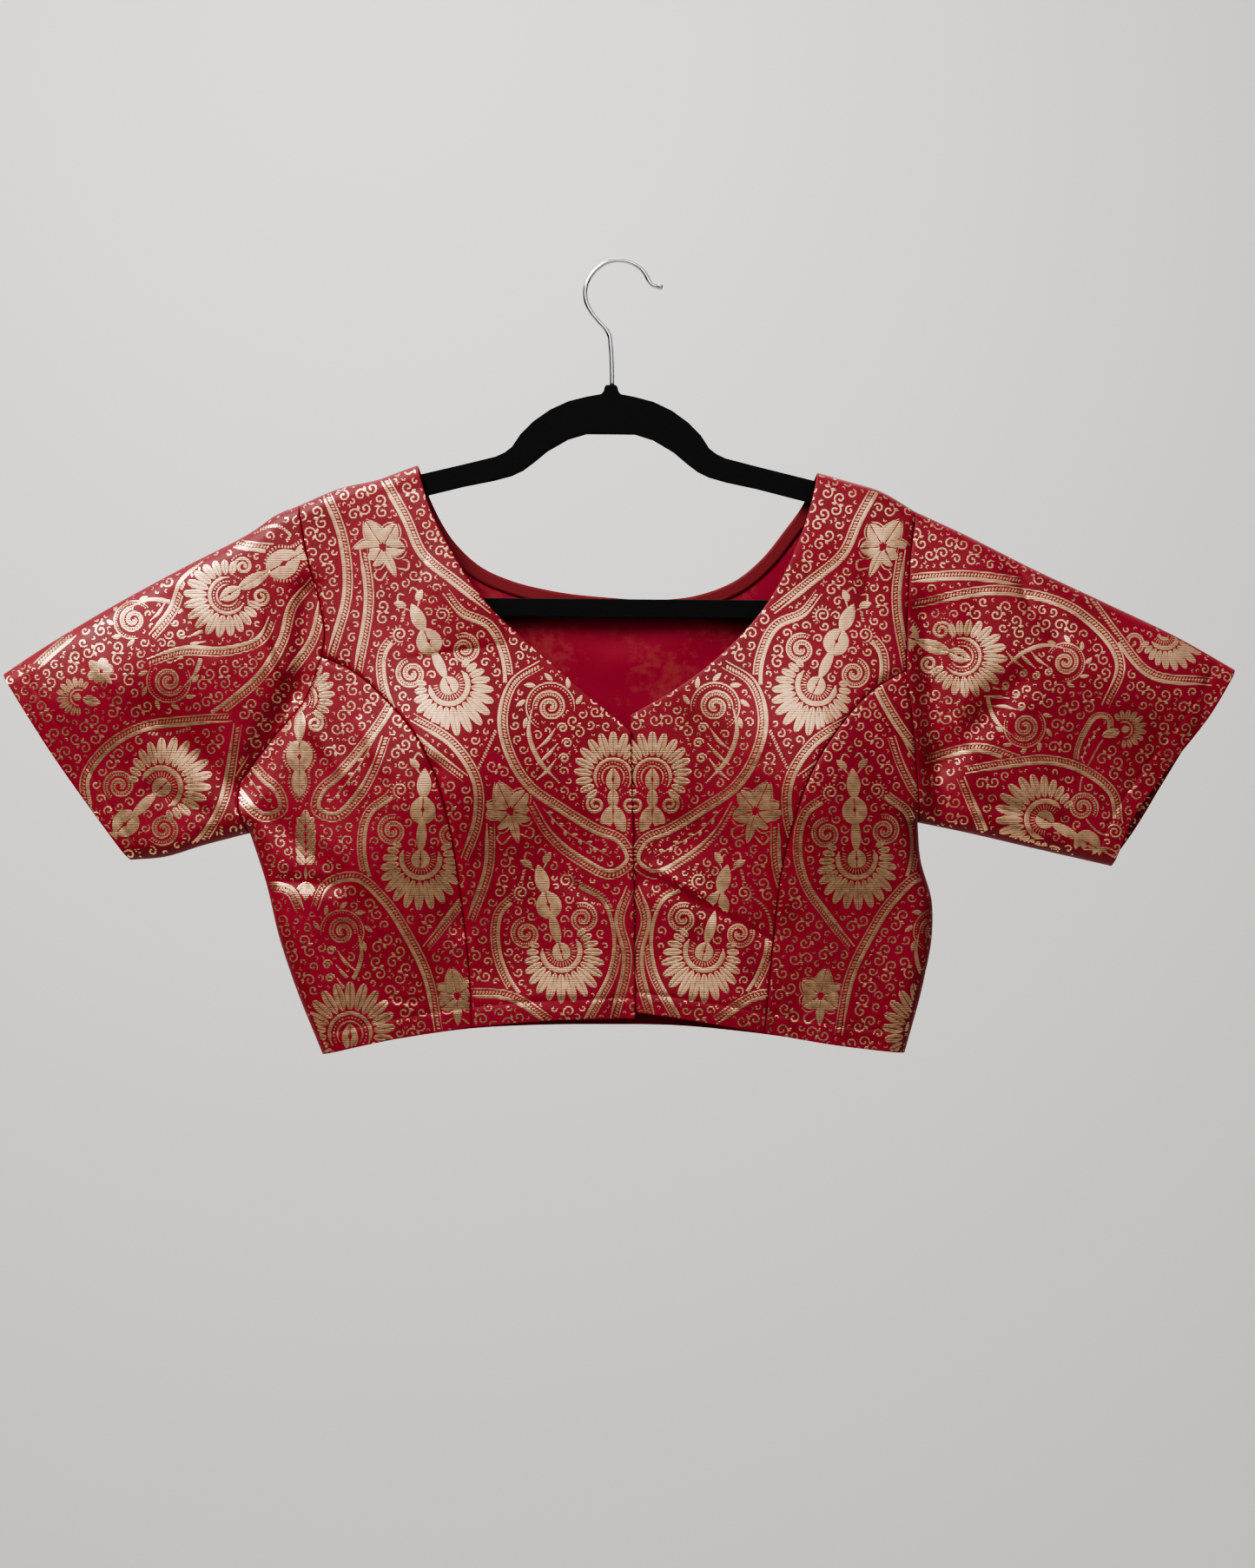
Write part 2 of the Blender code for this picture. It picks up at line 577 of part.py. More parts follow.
COLLECTION = "blouse on a hanger"
SIDE_CELLS = cells(LINES["side_left"].length)
SHOULDER_CELLS = cells(LINES["shoulder_left"].length)
NECK_CELLS = cells(LINES["back_neck"].length)
FACING_CELLS = 2 * NECK_CELLS
SLEEVE_CELLS = cells(LINES["sleeve_top_left"].length, 22 * MM)
BACK_ARMHOLE_CELLS = cells(LINES["back_armhole_left"].length)


def main():
    for old in list(bpy.data.objects):
        bpy.data.objects.remove(old, do_unlink=True)
    bpy.context.scene.collection.children.link(bpy.data.collections.new(COLLECTION))
    for side in ("left", "right"):
        centre_front(side)
        side_front(side)
        sleeve(side)
    back()
    back_neck_facing()
    hook_strip()
    hanger_body()
    hanger_hook()


main()
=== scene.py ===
"""Looks of a brocade blouse on a velvet hanger: thin cloth shells, the figured gold jaal, velvet and chrome.

Lengths are in metres unless a name ends in _mm. Every cloth piece is drawn from the seam lines of the front view and
from one depth rule for the front layer and one for the back layer, as its solid is, with the finer creases added.
"""

from __future__ import annotations

import sys

import json
import logging
import math
from collections.abc import Callable, Sequence
from dataclasses import dataclass, field
from enum import Enum

import bmesh
import bpy
import numpy as np
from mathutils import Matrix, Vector

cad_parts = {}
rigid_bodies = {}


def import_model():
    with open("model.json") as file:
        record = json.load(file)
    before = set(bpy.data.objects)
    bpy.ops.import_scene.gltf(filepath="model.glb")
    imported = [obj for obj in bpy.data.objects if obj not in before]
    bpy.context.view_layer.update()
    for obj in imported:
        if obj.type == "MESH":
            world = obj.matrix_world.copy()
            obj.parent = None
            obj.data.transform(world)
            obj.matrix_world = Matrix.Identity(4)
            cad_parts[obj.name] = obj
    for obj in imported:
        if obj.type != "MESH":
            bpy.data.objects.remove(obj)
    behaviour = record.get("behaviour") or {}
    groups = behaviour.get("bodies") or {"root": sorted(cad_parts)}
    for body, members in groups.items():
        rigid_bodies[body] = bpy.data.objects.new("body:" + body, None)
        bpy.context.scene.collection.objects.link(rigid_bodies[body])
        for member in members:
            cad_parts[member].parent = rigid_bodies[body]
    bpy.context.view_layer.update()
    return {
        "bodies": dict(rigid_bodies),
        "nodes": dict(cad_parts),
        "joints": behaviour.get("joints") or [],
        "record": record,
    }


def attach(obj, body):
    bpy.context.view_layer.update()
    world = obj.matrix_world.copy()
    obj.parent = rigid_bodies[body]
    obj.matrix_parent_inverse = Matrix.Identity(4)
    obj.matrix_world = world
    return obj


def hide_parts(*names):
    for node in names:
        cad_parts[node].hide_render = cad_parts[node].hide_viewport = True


MM = 0.001
TINY = 1e-9
DEGREES = 57.3
# Where the values of noise mostly lie
USUAL = (0.3, 0.7)
LOG = logging.getLogger("blouse")


class Side(Enum):
    """The side of the blouse as the viewer of its front sees it."""

    LEFT = "left"
    RIGHT = "right"

    @property
    def sign(self) -> int:
        """-1 on the left and 1 on the right, as x runs."""
        return -1 if self is Side.LEFT else 1


class Layer(Enum):
    """The two layers that the hanging blouse falls into."""

    FRONT = -1
    BACK = 1


class Shade:
    """A value in a shader tree, so that its maths reads as a formula.

    Args:
        tree: the material's node tree.
        socket: the output socket that carries the value, or a plain number.
    """

    def __init__(self, tree: bpy.types.NodeTree, socket: bpy.types.NodeSocket | float):
        self.tree = tree
        self.socket = socket

    def node(self, kind: str, inputs: dict, output: str | int = 0, **settings: object) -> Shade:
        """Add a node.

        Args:
            kind: the node's type name.
            inputs: input name or index to a Shade, a number or a tuple.
            output: the output's name or index.
            settings: the node's own properties.

        Returns:
            Its output as a Shade.
        """
        made = self.tree.nodes.new(kind)
        for name, value in settings.items():
            setattr(made, name, value)
        for name, value in inputs.items():
            plug(self.tree, made.inputs[name], value)
        return Shade(self.tree, made.outputs[output])

    def _maths(self, operation: str, second: Shade | float = 0.0) -> Shade:
        return self.node("ShaderNodeMath", {0: self, 1: second}, operation=operation)

    def __add__(self, other: Shade | float) -> Shade:
        return self._maths("ADD", other)

    def __mul__(self, other: Shade | float) -> Shade:
        return self._maths("MULTIPLY", other)

    def sine(self) -> Shade:
        """The sine of the value."""
        return self._maths("SINE")

    def ranged(self, low: float, high: float, to_low: float = 0.0, to_high: float = 1.0) -> Shade:
        """The value carried from one range to another, and held inside it."""
        return self.node("ShaderNodeMapRange", {0: self, 1: low, 2: high, 3: to_low, 4: to_high})

    def noise(self, scale: float, detail: float = 2.0, roughness: float = 0.5) -> Shade:
        """Noise over the object's own coordinates.

        Args:
            scale: cells in a metre.
            detail: octaves.
            roughness: the share of the finer octaves.

        Returns:
            A value from 0 to 1.
        """
        inputs = {"Vector": self.place(), "Scale": scale, "Detail": detail, "Roughness": roughness}
        return self.node("ShaderNodeTexNoise", inputs)

    def place(self) -> Shade:
        """The object's own coordinates."""
        return self.node("ShaderNodeTexCoord", {}, "Object")

    def part(self, axis: str) -> Shade:
        """One coordinate of the object's own, X, Y or Z."""
        return self.node("ShaderNodeSeparateXYZ", {0: self.place()}, axis)

    def colours(self, low: tuple, high: tuple) -> Shade:
        """A mix of two colours by the value."""
        return self.node("ShaderNodeMix", {0: self, 6: (*low, 1), 7: (*high, 1)}, 2, data_type="RGBA")


def plug(tree: bpy.types.NodeTree, socket: bpy.types.NodeSocket, value: Shade | float | tuple) -> None:
    """Link a shade to one input socket, or set the socket to a plain value."""
    if isinstance(value, Shade):
        tree.links.new(value.socket, socket)
    else:
        socket.default_value = value


class Finish:
    """A finish: a named material made of shader nodes. Each finish fills in its own surface."""

    label = "finish"

    def material(self) -> bpy.types.Material:
        """The material, made once and shared after that."""
        found = bpy.data.materials.get(self.label)
        if found:
            return found
        made = bpy.data.materials.new(self.label)
        made.use_nodes = True
        tree = made.node_tree
        shader = tree.nodes["Principled BSDF"]
        values, bump = self.surface(Shade(tree, 0.0))
        for name, value in values.items():
            plug(tree, shader.inputs[name], value)
        if bump:
            inputs = dict(zip(("Strength", "Distance", "Height"), bump))
            plug(tree, shader.inputs["Normal"], Shade(tree, 0.0).node("ShaderNodeBump", inputs))
        return made

    def surface(self, value: Shade) -> tuple[dict, tuple | None]:
        """The shader's inputs by name, and the bump's strength, distance and height or None."""
        raise NotImplementedError


@dataclass(frozen=True)
class Satin(Finish):
    """The crimson satin ground, with the faint unevenness of its weave."""

    label: str = "crimson satin"
    deep: tuple = (0.135, 0.003, 0.008)
    bright: tuple = (0.225, 0.004, 0.018)
    cloud_scale: float = 38
    thread_scale: float = 900

    def surface(self, value: Shade) -> tuple[dict, tuple | None]:
        """See Finish."""
        cloud = value.noise(self.cloud_scale, 3)
        thread = value.noise(self.thread_scale, 2)
        tone = (cloud * 0.6 + thread * 0.4).ranged(*USUAL)
        return {
            "Base Color": tone.colours(self.deep, self.bright),
            "Roughness": cloud.ranged(*USUAL, 0.46, 0.56),
            "Sheen Weight": 0.04,
            "Sheen Roughness": 0.4,
            "Sheen Tint": (1.0, 0.3, 0.4, 1),
            "Specular IOR Level": 0.26,
        }, (0.25, 0.0002, thread)


@dataclass(frozen=True)
class WrongSide(Finish):
    """The inside of the cloth: dull red, with the gold showing through as a faint mottle."""

    label: str = "wrong side"
    red: tuple = (0.21, 0.004, 0.018)
    ghost: tuple = (0.235, 0.019, 0.026)
    swirl_scale: float = 190
    patch_scale: float = 26
    weave_scale: float = 700

    def surface(self, value: Shade) -> tuple[dict, tuple | None]:
        """See Finish."""
        swirl = value.noise(self.swirl_scale, 4, 0.65)
        mottle = (swirl * value.noise(self.patch_scale, 2)).ranged(0.24, 0.40)
        return {
            "Base Color": mottle.colours(self.red, self.ghost),
            "Roughness": 0.72,
            "Specular IOR Level": 0.25,
        }, (0.2, 0.0003, value.noise(self.weave_scale))


@dataclass(frozen=True)
class Lining(Finish):
    """Plain dull red cloth of the facing, the strip and the turned edges."""

    label: str = "plain red"
    red: tuple = (0.15, 0.003, 0.008)
    weave_scale: float = 600

    def surface(self, value: Shade) -> tuple[dict, tuple | None]:
        """See Finish."""
        weave = value.noise(self.weave_scale, 2)
        return {
            "Base Color": weave.ranged(*USUAL).colours(tuple(0.8 * c for c in self.red), self.red),
            "Roughness": 0.7,
            "Specular IOR Level": 0.3,
        }, (0.2, 0.0003, weave)


@dataclass(frozen=True)
class Zari(Finish):
    """The gold thread of the figure: flat metal yarn, with the red warp that binds it showing between its picks, and
    broad random patches of painted sheen.
    """

    label: str = "gold thread"
    warp: tuple = (0.13, 0.014, 0.010)
    gold: tuple = (0.96, 0.61, 0.36)
    pick_rate: float = 5200
    worn_scale: float = 240
    # Cells in a metre of the broad patches of painted sheen
    painted_sheen_scale: float = 11

    def surface(self, value: Shade) -> tuple[dict, tuple | None]:
        """See Finish."""
        picks = (value.part("Z") * self.pick_rate).sine().ranged(-1, 1)
        worn = value.noise(self.worn_scale, 3, 0.6)
        # Painted sheen: broad random patches where the gold turns brighter and more metallic, standing in for light on
        # the metal
        painted_sheen = value.noise(self.painted_sheen_scale, 1)
        metal = (picks * 0.4 + worn * 0.4 + painted_sheen * 0.2).ranged(0.2, 0.62)
        return {
            "Base Color": metal.colours(self.warp, self.gold),
            "Metallic": metal.ranged(0, 1, 0.8, 1),
            "Roughness": worn.ranged(*USUAL, 0.31, 0.38),
            "Specular IOR Level": 0.5,
        }, (0.35, 0.0001, picks)


@dataclass(frozen=True)
class Velvet(Finish):
    """Black flocking."""

    label: str = "black velvet"
    black: tuple = (0.0035, 0.0035, 0.004)
    nap_scale: float = 900

    def surface(self, value: Shade) -> tuple[dict, tuple | None]:
        """See Finish."""
        return {
            "Base Color": (*self.black, 1),
            "Roughness": 1.0,
            "Specular IOR Level": 0.05,
            "Sheen Weight": 0.06,
            "Sheen Roughness": 0.6,
        }, (0.6, 0.0006, value.noise(self.nap_scale, 3))


@dataclass(frozen=True)
class Chrome(Finish):
    """Bright plated wire."""

    label: str = "bright wire"
    dull: tuple = (0.62, 0.63, 0.65)
    bright: tuple = (0.80, 0.81, 0.83)
    wear_scale: float = 180

    def surface(self, value: Shade) -> tuple[dict, tuple | None]:
        """See Finish."""
        wear = value.noise(self.wear_scale, 3)
        return {
            "Base Color": wear.ranged(*USUAL).colours(self.dull, self.bright),
            "Metallic": 1.0,
            "Roughness": wear.ranged(*USUAL, 0.10, 0.2),
        }, None


@dataclass(frozen=True)
class Plain(Finish):
    """The plain backdrop."""

    label: str = "plain backdrop"
    tone: tuple = (0.86, 0.83, 0.78)

    def surface(self, value: Shade) -> tuple[dict, tuple | None]:
        """See Finish."""
        return {"Base Color": (*self.tone, 1), "Roughness": 0.9, "Specular IOR Level": 0.1}, None


def way(angle: float) -> np.ndarray:
    """The unit step in a direction in degrees: its cosine and its sine."""
    return np.array((math.cos(math.radians(angle)), math.sin(math.radians(angle))))


def unit(vectors: np.ndarray, least: float = 0.0) -> np.ndarray:
    """Each vector divided by its own length, to which the least is added where a length may be nothing."""
    return vectors / (np.linalg.norm(vectors, axis=-1, keepdims=True) + least)


def quarter_turn(vectors: np.ndarray) -> np.ndarray:
    """Flat vectors turned a quarter turn anticlockwise: (-v, u) for each (u, v)."""
    return np.stack([-vectors[..., 1], vectors[..., 0]], axis=-1)


def walked(path: np.ndarray) -> np.ndarray:
    """How far each point of a path is from its start: the sum of the steps up to it."""
    return np.concatenate([[0], np.cumsum(np.linalg.norm(np.diff(path, axis=0), axis=1))])


def read_path(values: np.ndarray, distances: np.ndarray, at: np.ndarray) -> np.ndarray:
    """Pairs of values known at some distances along a path, read between them at others."""
    return np.stack([np.interp(at, distances, values[:, k]) for k in (0, 1)], axis=-1)


def stood(flat: np.ndarray, y: np.ndarray) -> np.ndarray:
    """Points of the front view, x and z, given their depth y."""
    return np.stack([flat[..., 0], y, flat[..., 1]], axis=-1)


def grid_quads(rows: int, columns: int, loop: bool = False) -> np.ndarray:
    """The four corners of each cell in a grid of points, row by row. In a loop the last column meets the first."""
    index = np.arange(rows * columns).reshape(rows, columns)
    beside = np.roll(index, -1, axis=1) if loop else index[:, 1:]
    index = index if loop else index[:, :-1]
    return np.stack([index[:-1], beside[:-1], beside[1:], index[1:]], axis=-1).reshape(-1, 4)


def flipped(quads: np.ndarray) -> np.ndarray:
    """The same quads facing the other way, each still starting at its first corner."""
    return quads[:, [0, 3, 2, 1]]


def sided(sign: int, *knots: tuple) -> list[tuple]:
    """The knots (u, v) as they are for a sign of 1, and mirrored left to right for -1."""
    return [(sign * u, v) for u, v in knots]


class SeamLine:
    """A smooth line of the front view through its measured points, read by distance along it.

    Between two points it is a cubic. Its slope at a point is the slopes on both sides, each weighted by the length of
    the other side.

    Args:
        rows: the points, as x_mm and z_mm.
        per_span: points kept between two of them.
    """

    def __init__(self, rows: Sequence, per_span: int = 24):
        knots = np.array(rows, float) * MM
        spans = np.linalg.norm(np.diff(knots, axis=0), axis=1)[:, None]
        slopes = np.diff(knots, axis=0) / spans
        tangents = np.concatenate([slopes[:1], slopes])
        tangents[1:-1] = (slopes[:-1] * spans[1:] + slopes[1:] * spans[:-1]) / (spans[:-1] + spans[1:])
        t = np.linspace(0, 1, per_span, endpoint=False)[None, :, None]
        start, end = knots[:-1, None], knots[1:, None]
        leave, arrive = (tangents[:-1] * spans)[:, None], (tangents[1:] * spans)[:, None]
        along = (
            (2 * t**3 - 3 * t**2 + 1) * start + (t**3 - 2 * t**2 + t) * leave
            + (3 * t**2 - 2 * t**3) * end + (t**3 - t**2) * arrive
        )
        self.points = np.concatenate([along.reshape(-1, 2), knots[-1:]])
        self.distances = walked(self.points)
        self.length = float(self.distances[-1])

    def at(self, distances: np.ndarray) -> np.ndarray:
        """The points (x, z) at these distances from the start."""
        return read_path(self.points, self.distances, distances)

    def evenly(self, cells: int, start: tuple = (), end: tuple = ()) -> np.ndarray:
        """The points at the given steps from each end and at even cells between them."""
        low = start[-1] if start else 0
        high = self.length - (end[-1] if end else 0)
        before = [0, *start[:-1]] if start else []
        after = [self.length - step for step in reversed(end[:-1])] + [self.length] if end else []
        return self.at(np.array([*before, *np.linspace(low, high, cells + 1), *after]))


SEAM_LINES = {
    "shoulder_left": ((-211, -160), (-183.5, -148.5), (-157, -142.3), (-143.6, -137.2), (-132.8, -133.4)),
    "shoulder_right": ((195, -164), (170, -149.7), (152, -144.4), (130.5, -138.3)),
    "armhole_left": ((-211, -160), (-204, -197), (-195.5, -229), (-193, -247), (-195, -260)),
    "armhole_right": ((195, -164), (191, -194), (189.2, -228), (188, -269)),
    "lower_armhole_left": ((-195, -260), (-204, -284), (-228.5, -315), (-249.7, -343.5)),
    "lower_armhole_right": ((188, -269), (190.5, -290), (193, -313)),
    "underarm_left": ((-249.7, -343.5), (-249.7, -359), (-243.4, -376)),
    "underarm_right": ((193, -313), (195, -340), (196.6, -369)),
    "side_left": ((-243.4, -376), (-233, -408), (-224, -445), (-213.7, -476), (-195.5, -521.3)),
    "side_right": ((196.6, -369), (198.5, -393), (206, -421), (206.3, -440), (200.6, -473), (188, -520.2)),
    "princess_left": (
        (-195, -260), (-173, -270.5), (-151.6, -289), (-133, -310.5), (-119, -339), (-110, -372.6),
        (-102.6, -423), (-98, -467), (-96.3, -502.5),
    ),
    "princess_right": (
        (188, -269), (166, -282), (145.3, -304), (124, -338), (113.4, -368.6), (106, -400.5),
        (101, -444), (98, -476), (95.2, -506.5),
    ),
    "neck_left": (
        (-132.8, -133.4), (-124.3, -161.7), (-113, -185), (-86.6, -225), (-45.6, -263), (-9.7, -294.5), (8, -309.3),
    ),
    "neck_right": (
        (130.5, -138.3), (126.5, -156), (111.7, -198), (97.5, -224), (74, -251.7), (40.5, -279), (7.2, -298.5),
    ),
    "closure_left": ((8, -309.3), (9.6, -400), (10.3, -496.8)),
    "closure_right": ((7.2, -298.5), (6.6, -330), (7.4, -492.3)),
    "side_hem_left": ((-195.5, -521.3), (-171, -515.6), (-149, -511), (-96.3, -502.5)),
    "side_hem_right": ((188, -520.2), (138, -514), (95.2, -506.5)),
    "centre_hem_left": ((-96.3, -502.5), (-45, -498), (10.3, -496.8)),
    "centre_hem_right": ((95.2, -506.5), (36, -496.2), (7.4, -492.3)),
    "sleeve_top_left": (
        (-211, -160), (-225, -165.6), (-240, -176), (-285.6, -200), (-342, -231), (-387.6, -259), (-405.3, -271),
    ),
    "sleeve_top_right": (
        (195, -164), (225.7, -178.2), (271, -201), (320, -224), (370.5, -248.3), (405.3, -268.2),
    ),
    "sleeve_under_left": ((-243.4, -376), (-274, -384), (-300.4, -391.8), (-321.5, -393.6)),
    "sleeve_under_right": ((196.6, -369), (225.7, -375), (274, -386.2), (323.8, -397.6)),
    "cuff_left": ((-405.3, -271), (-369, -328), (-333, -378.3), (-321.5, -393.6)),
    "cuff_right": ((405.3, -268.2), (388, -297), (357.7, -336), (336.1, -367.5), (323.8, -397.6)),
    "back_cuff_right": ((405.3, -268.2), (386, -299.6), (356.7, -347.7), (342, -372.2), (323.8, -397.6)),
    "back_armhole_left": ((-211, -160), (-203, -200), (-199, -245), (-208, -295), (-228, -340), (-243.4, -376)),
    "back_armhole_right": ((195, -164), (190, -205), (189, -250), (191, -300), (194, -340), (196.6, -369)),
    "back_neck": (
        (-132.8, -133.4), (-124.3, -157), (-107.7, -185), (-91, -200), (-71, -209), (-45.6, -215.4),
        (-7.4, -220), (27, -221.5), (49.6, -219), (80, -206.7), (94.6, -194), (109, -176), (121, -159.4),
        (130.5, -138.3),
    ),
    "back_hem": (
        (-195.5, -521.3), (-149, -512.8), (-96.3, -505.4), (-60, -503.4), (-7.4, -502.8), (36, -503.4),
        (85.5, -508), (138, -515), (188, -520.2),
    ),
}
SEAM_LINES["back_cuff_left"] = SEAM_LINES["cuff_left"]
LINES = {name: SeamLine(rows) for name, rows in SEAM_LINES.items()}


def line(name: str, side: Side | None = None) -> SeamLine:
    """The seam line of this name, on this side."""
    return LINES[f"{name}_{side.value}" if side else name]


def joined(*runs: np.ndarray) -> np.ndarray:
    """Runs of points end to end, each starting where the one before it stops."""
    return np.concatenate([runs[0]] + [run[1:] for run in runs[1:]])


def shares(points: np.ndarray) -> np.ndarray:
    """The distance along a run of points, as a share of its whole length."""
    gone = walked(points)
    return gone / gone[-1] if gone[-1] else np.linspace(0, 1, len(points))


def fill_between(top: np.ndarray, bottom: np.ndarray, left: np.ndarray, right: np.ndarray) -> np.ndarray:
    """The grid of points inside four edges: the two pairs blended across each other, less the four corners."""
    down = shares(left)[:, None] * (1 - shares(top)) + shares(right)[:, None] * shares(top)
    across = shares(top)[None] * (1 - down) + shares(bottom)[None] * down
    u, v = across[..., None], down[..., None]
    corners = (1 - u) * (1 - v) * top[0] + u * (1 - v) * top[-1] + (1 - u) * v * bottom[0] + u * v * bottom[-1]
    return (1 - v) * top[None] + v * bottom[None] + (1 - u) * left[:, None] + u * right[:, None] - corners


def segment_distance(points: np.ndarray, start: np.ndarray, end: np.ndarray) -> tuple[np.ndarray, np.ndarray]:
    """The distance from each point to one straight segment, and how far along it the nearest point is, from 0 to 1."""
    along = end - start
    share = np.clip(((points - start) @ along) / (along @ along), 0, 1)
    return np.linalg.norm(points - start - share[..., None] * along, axis=-1), share


def line_distance(points: np.ndarray, path: np.ndarray) -> np.ndarray:
    """The least distance from each point to a path of straight segments, in parts small enough for the memory."""
    flat = points.reshape(-1, 2)
    starts, along = path[:-1], np.diff(path, axis=0)
    squares = (along * along).sum(-1)
    out = np.empty(len(flat))
    part = 4096
    for low in range(0, len(flat), part):
        some = flat[low : low + part, None]
        share = np.clip(((some - starts) * along).sum(-1) / squares, 0, 1)
        out[low : low + part] = np.linalg.norm(some - starts - share[..., None] * along, axis=-1).min(-1)
    return out.reshape(points.shape[:-1])


def smooth_step(value: np.ndarray) -> np.ndarray:
    """0 below 0, 1 above 1, and level at both ends."""
    value = np.clip(value, 0, 1)
    return value * value * (3 - 2 * value)


# Largest folds, as the solids have them. Columns: from x_mm, z_mm, to x_mm, z_mm, half width_mm, share of the depth
FRONT_FOLDS = (
    (-204, -218, -207, -272, 9, 0.36),
    (-213, -285, -246, -346, 10, 0.50),
    (200, -232, 212, -364, 11, 0.50),
    (-121, -336, -104, -436, 8, 0.16),
    (90, -350, 92, -470, 9, 0.12),
    (-238, -204, -368, -285, 30, -0.28),
    (228, -214, 372, -290, 28, -0.28),
    (-233, -362, -184, -404, 8, 0.16),
    (-232, -406, -186, -411, 6, 0.16),
    (258, -204, 286, -246, 7, 0.24),
    (210, -330, 262, -276, 10, 0.24),
    (-258, -338, -304, -300, 12, 0.22),
    (18, -407, 98, -443, 6, 0.08),
)
BACK_FOLDS = (
    (-205, -225, -236, -350, 10, 0.30),
    (199, -230, 204, -350, 11, 0.30),
    (-84, -350, -72, -478, 12, 0.22),
    (80, -348, 70, -480, 12, 0.22),
    (-240, -330, -310, -296, 11, 0.22),
    (212, -326, 282, -282, 11, 0.24),
    (-60, -236, -8, -262, 14, 0.14),
    (58, -238, 12, -262, 14, 0.14),
)
# Creases too fine for the solids. Columns: from x_mm, z_mm, to x_mm, z_mm, half width_mm, height_mm (below 0 sinks)
FRONT_CREASES = (
    (-384, -294, -226, -252, 38.0, 5.0),
    (228, -262, 380, -298, 36.0, 4.8),
    (-206, -402, -122, -394, 32.0, 3.0),
    (-100, -496, -2, -492, 30.0, 4.4),
    (-98, -390, -8, -394, 25.0, -2.2),
    (6, -490, 100, -496, 30.0, 3.8),
    (12, -374, 98, -382, 24.0, -1.9),
    (30, -262, 96, -322, 18.0, 1.8),
    (104, -172, 190, -188, 28.0, 2.8),
    (-130, -212, -70, -226, 24.0, 2.4),
    (-122, -150, -106, -256, 32.0, 3.0),
    (-199, -259, -176, -268, 2.2, -1.35),
    (186, -268, 164, -281, 2.0, -1.05),
    (-206, -300, -170, -350, 5.0, 1.05),
    (-228, -406, -187, -408, 2.0, -0.9),
    (-160, -484, -128, -486, 1.6, -0.75),
    (-131, -440, -117, -506, 3.0, -1.05),
    (-45, -400, -8, -424, 4.0, -0.9),
    (-88, -378, -58, -372, 4.0, -0.75),
    (-60, -486, -20, -488, 3.0, -0.6),
    (20, -396, 60, -420, 3.0, 1.05),
    (112, -350, 108, -420, 3.5, -0.9),
    (150, -360, 176, -420, 6.0, 0.9),
    (130, -300, 160, -330, 5.0, 0.75),
    (-170, -300, -150, -340, 5.0, 0.9),
    (-186, -168, -176, -236, 5.0, -0.75),
    (-150, -160, -120, -220, 6.0, 0.6),
    (166, -170, 160, -240, 6.0, -0.75),
    (262, -205, 270, -234, 2.8, -1.8),
    (300, -232, 330, -268, 5.0, -0.9),
    (214, -300, 240, -326, 4.0, 1.2),
    (226, -352, 300, -372, 5.0, -0.9),
    (-300, -214, -262, -262, 6.0, -1.05),
    (-352, -246, -318, -296, 7.0, 1.05),
    (-262, -366, -312, -346, 5.0, -0.9),
    (-240, -230, -222, -290, 6.0, 1.2),
)
BACK_CREASES = (
    (-370, -298, -232, -262, 36.0, 3.0),
    (232, -262, 370, -298, 36.0, 3.0),
    (-150, -440, 150, -452, 34.0, 2.0),
    (-150, -180, -110, -250, 6.0, -0.9),
    (150, -186, 112, -252, 6.0, -0.75),
    (-190, -330, -150, -380, 5.0, -1.05),
    (182, -330, 146, -376, 5.0, -1.05),
    (-60, -300, 40, -312, 9.0, 0.75),
    (20, -360, 34, -500, 7.0, -0.75),
    (-140, -430, -60, -446, 5.0, 0.75),
    (264, -210, 280, -244, 4.0, -1.05),
    (-300, -220, -262, -268, 6.0, -1.05),
    (320, -250, 300, -330, 7.0, 0.9),
    (-350, -256, -318, -320, 7.0, 0.9),
)


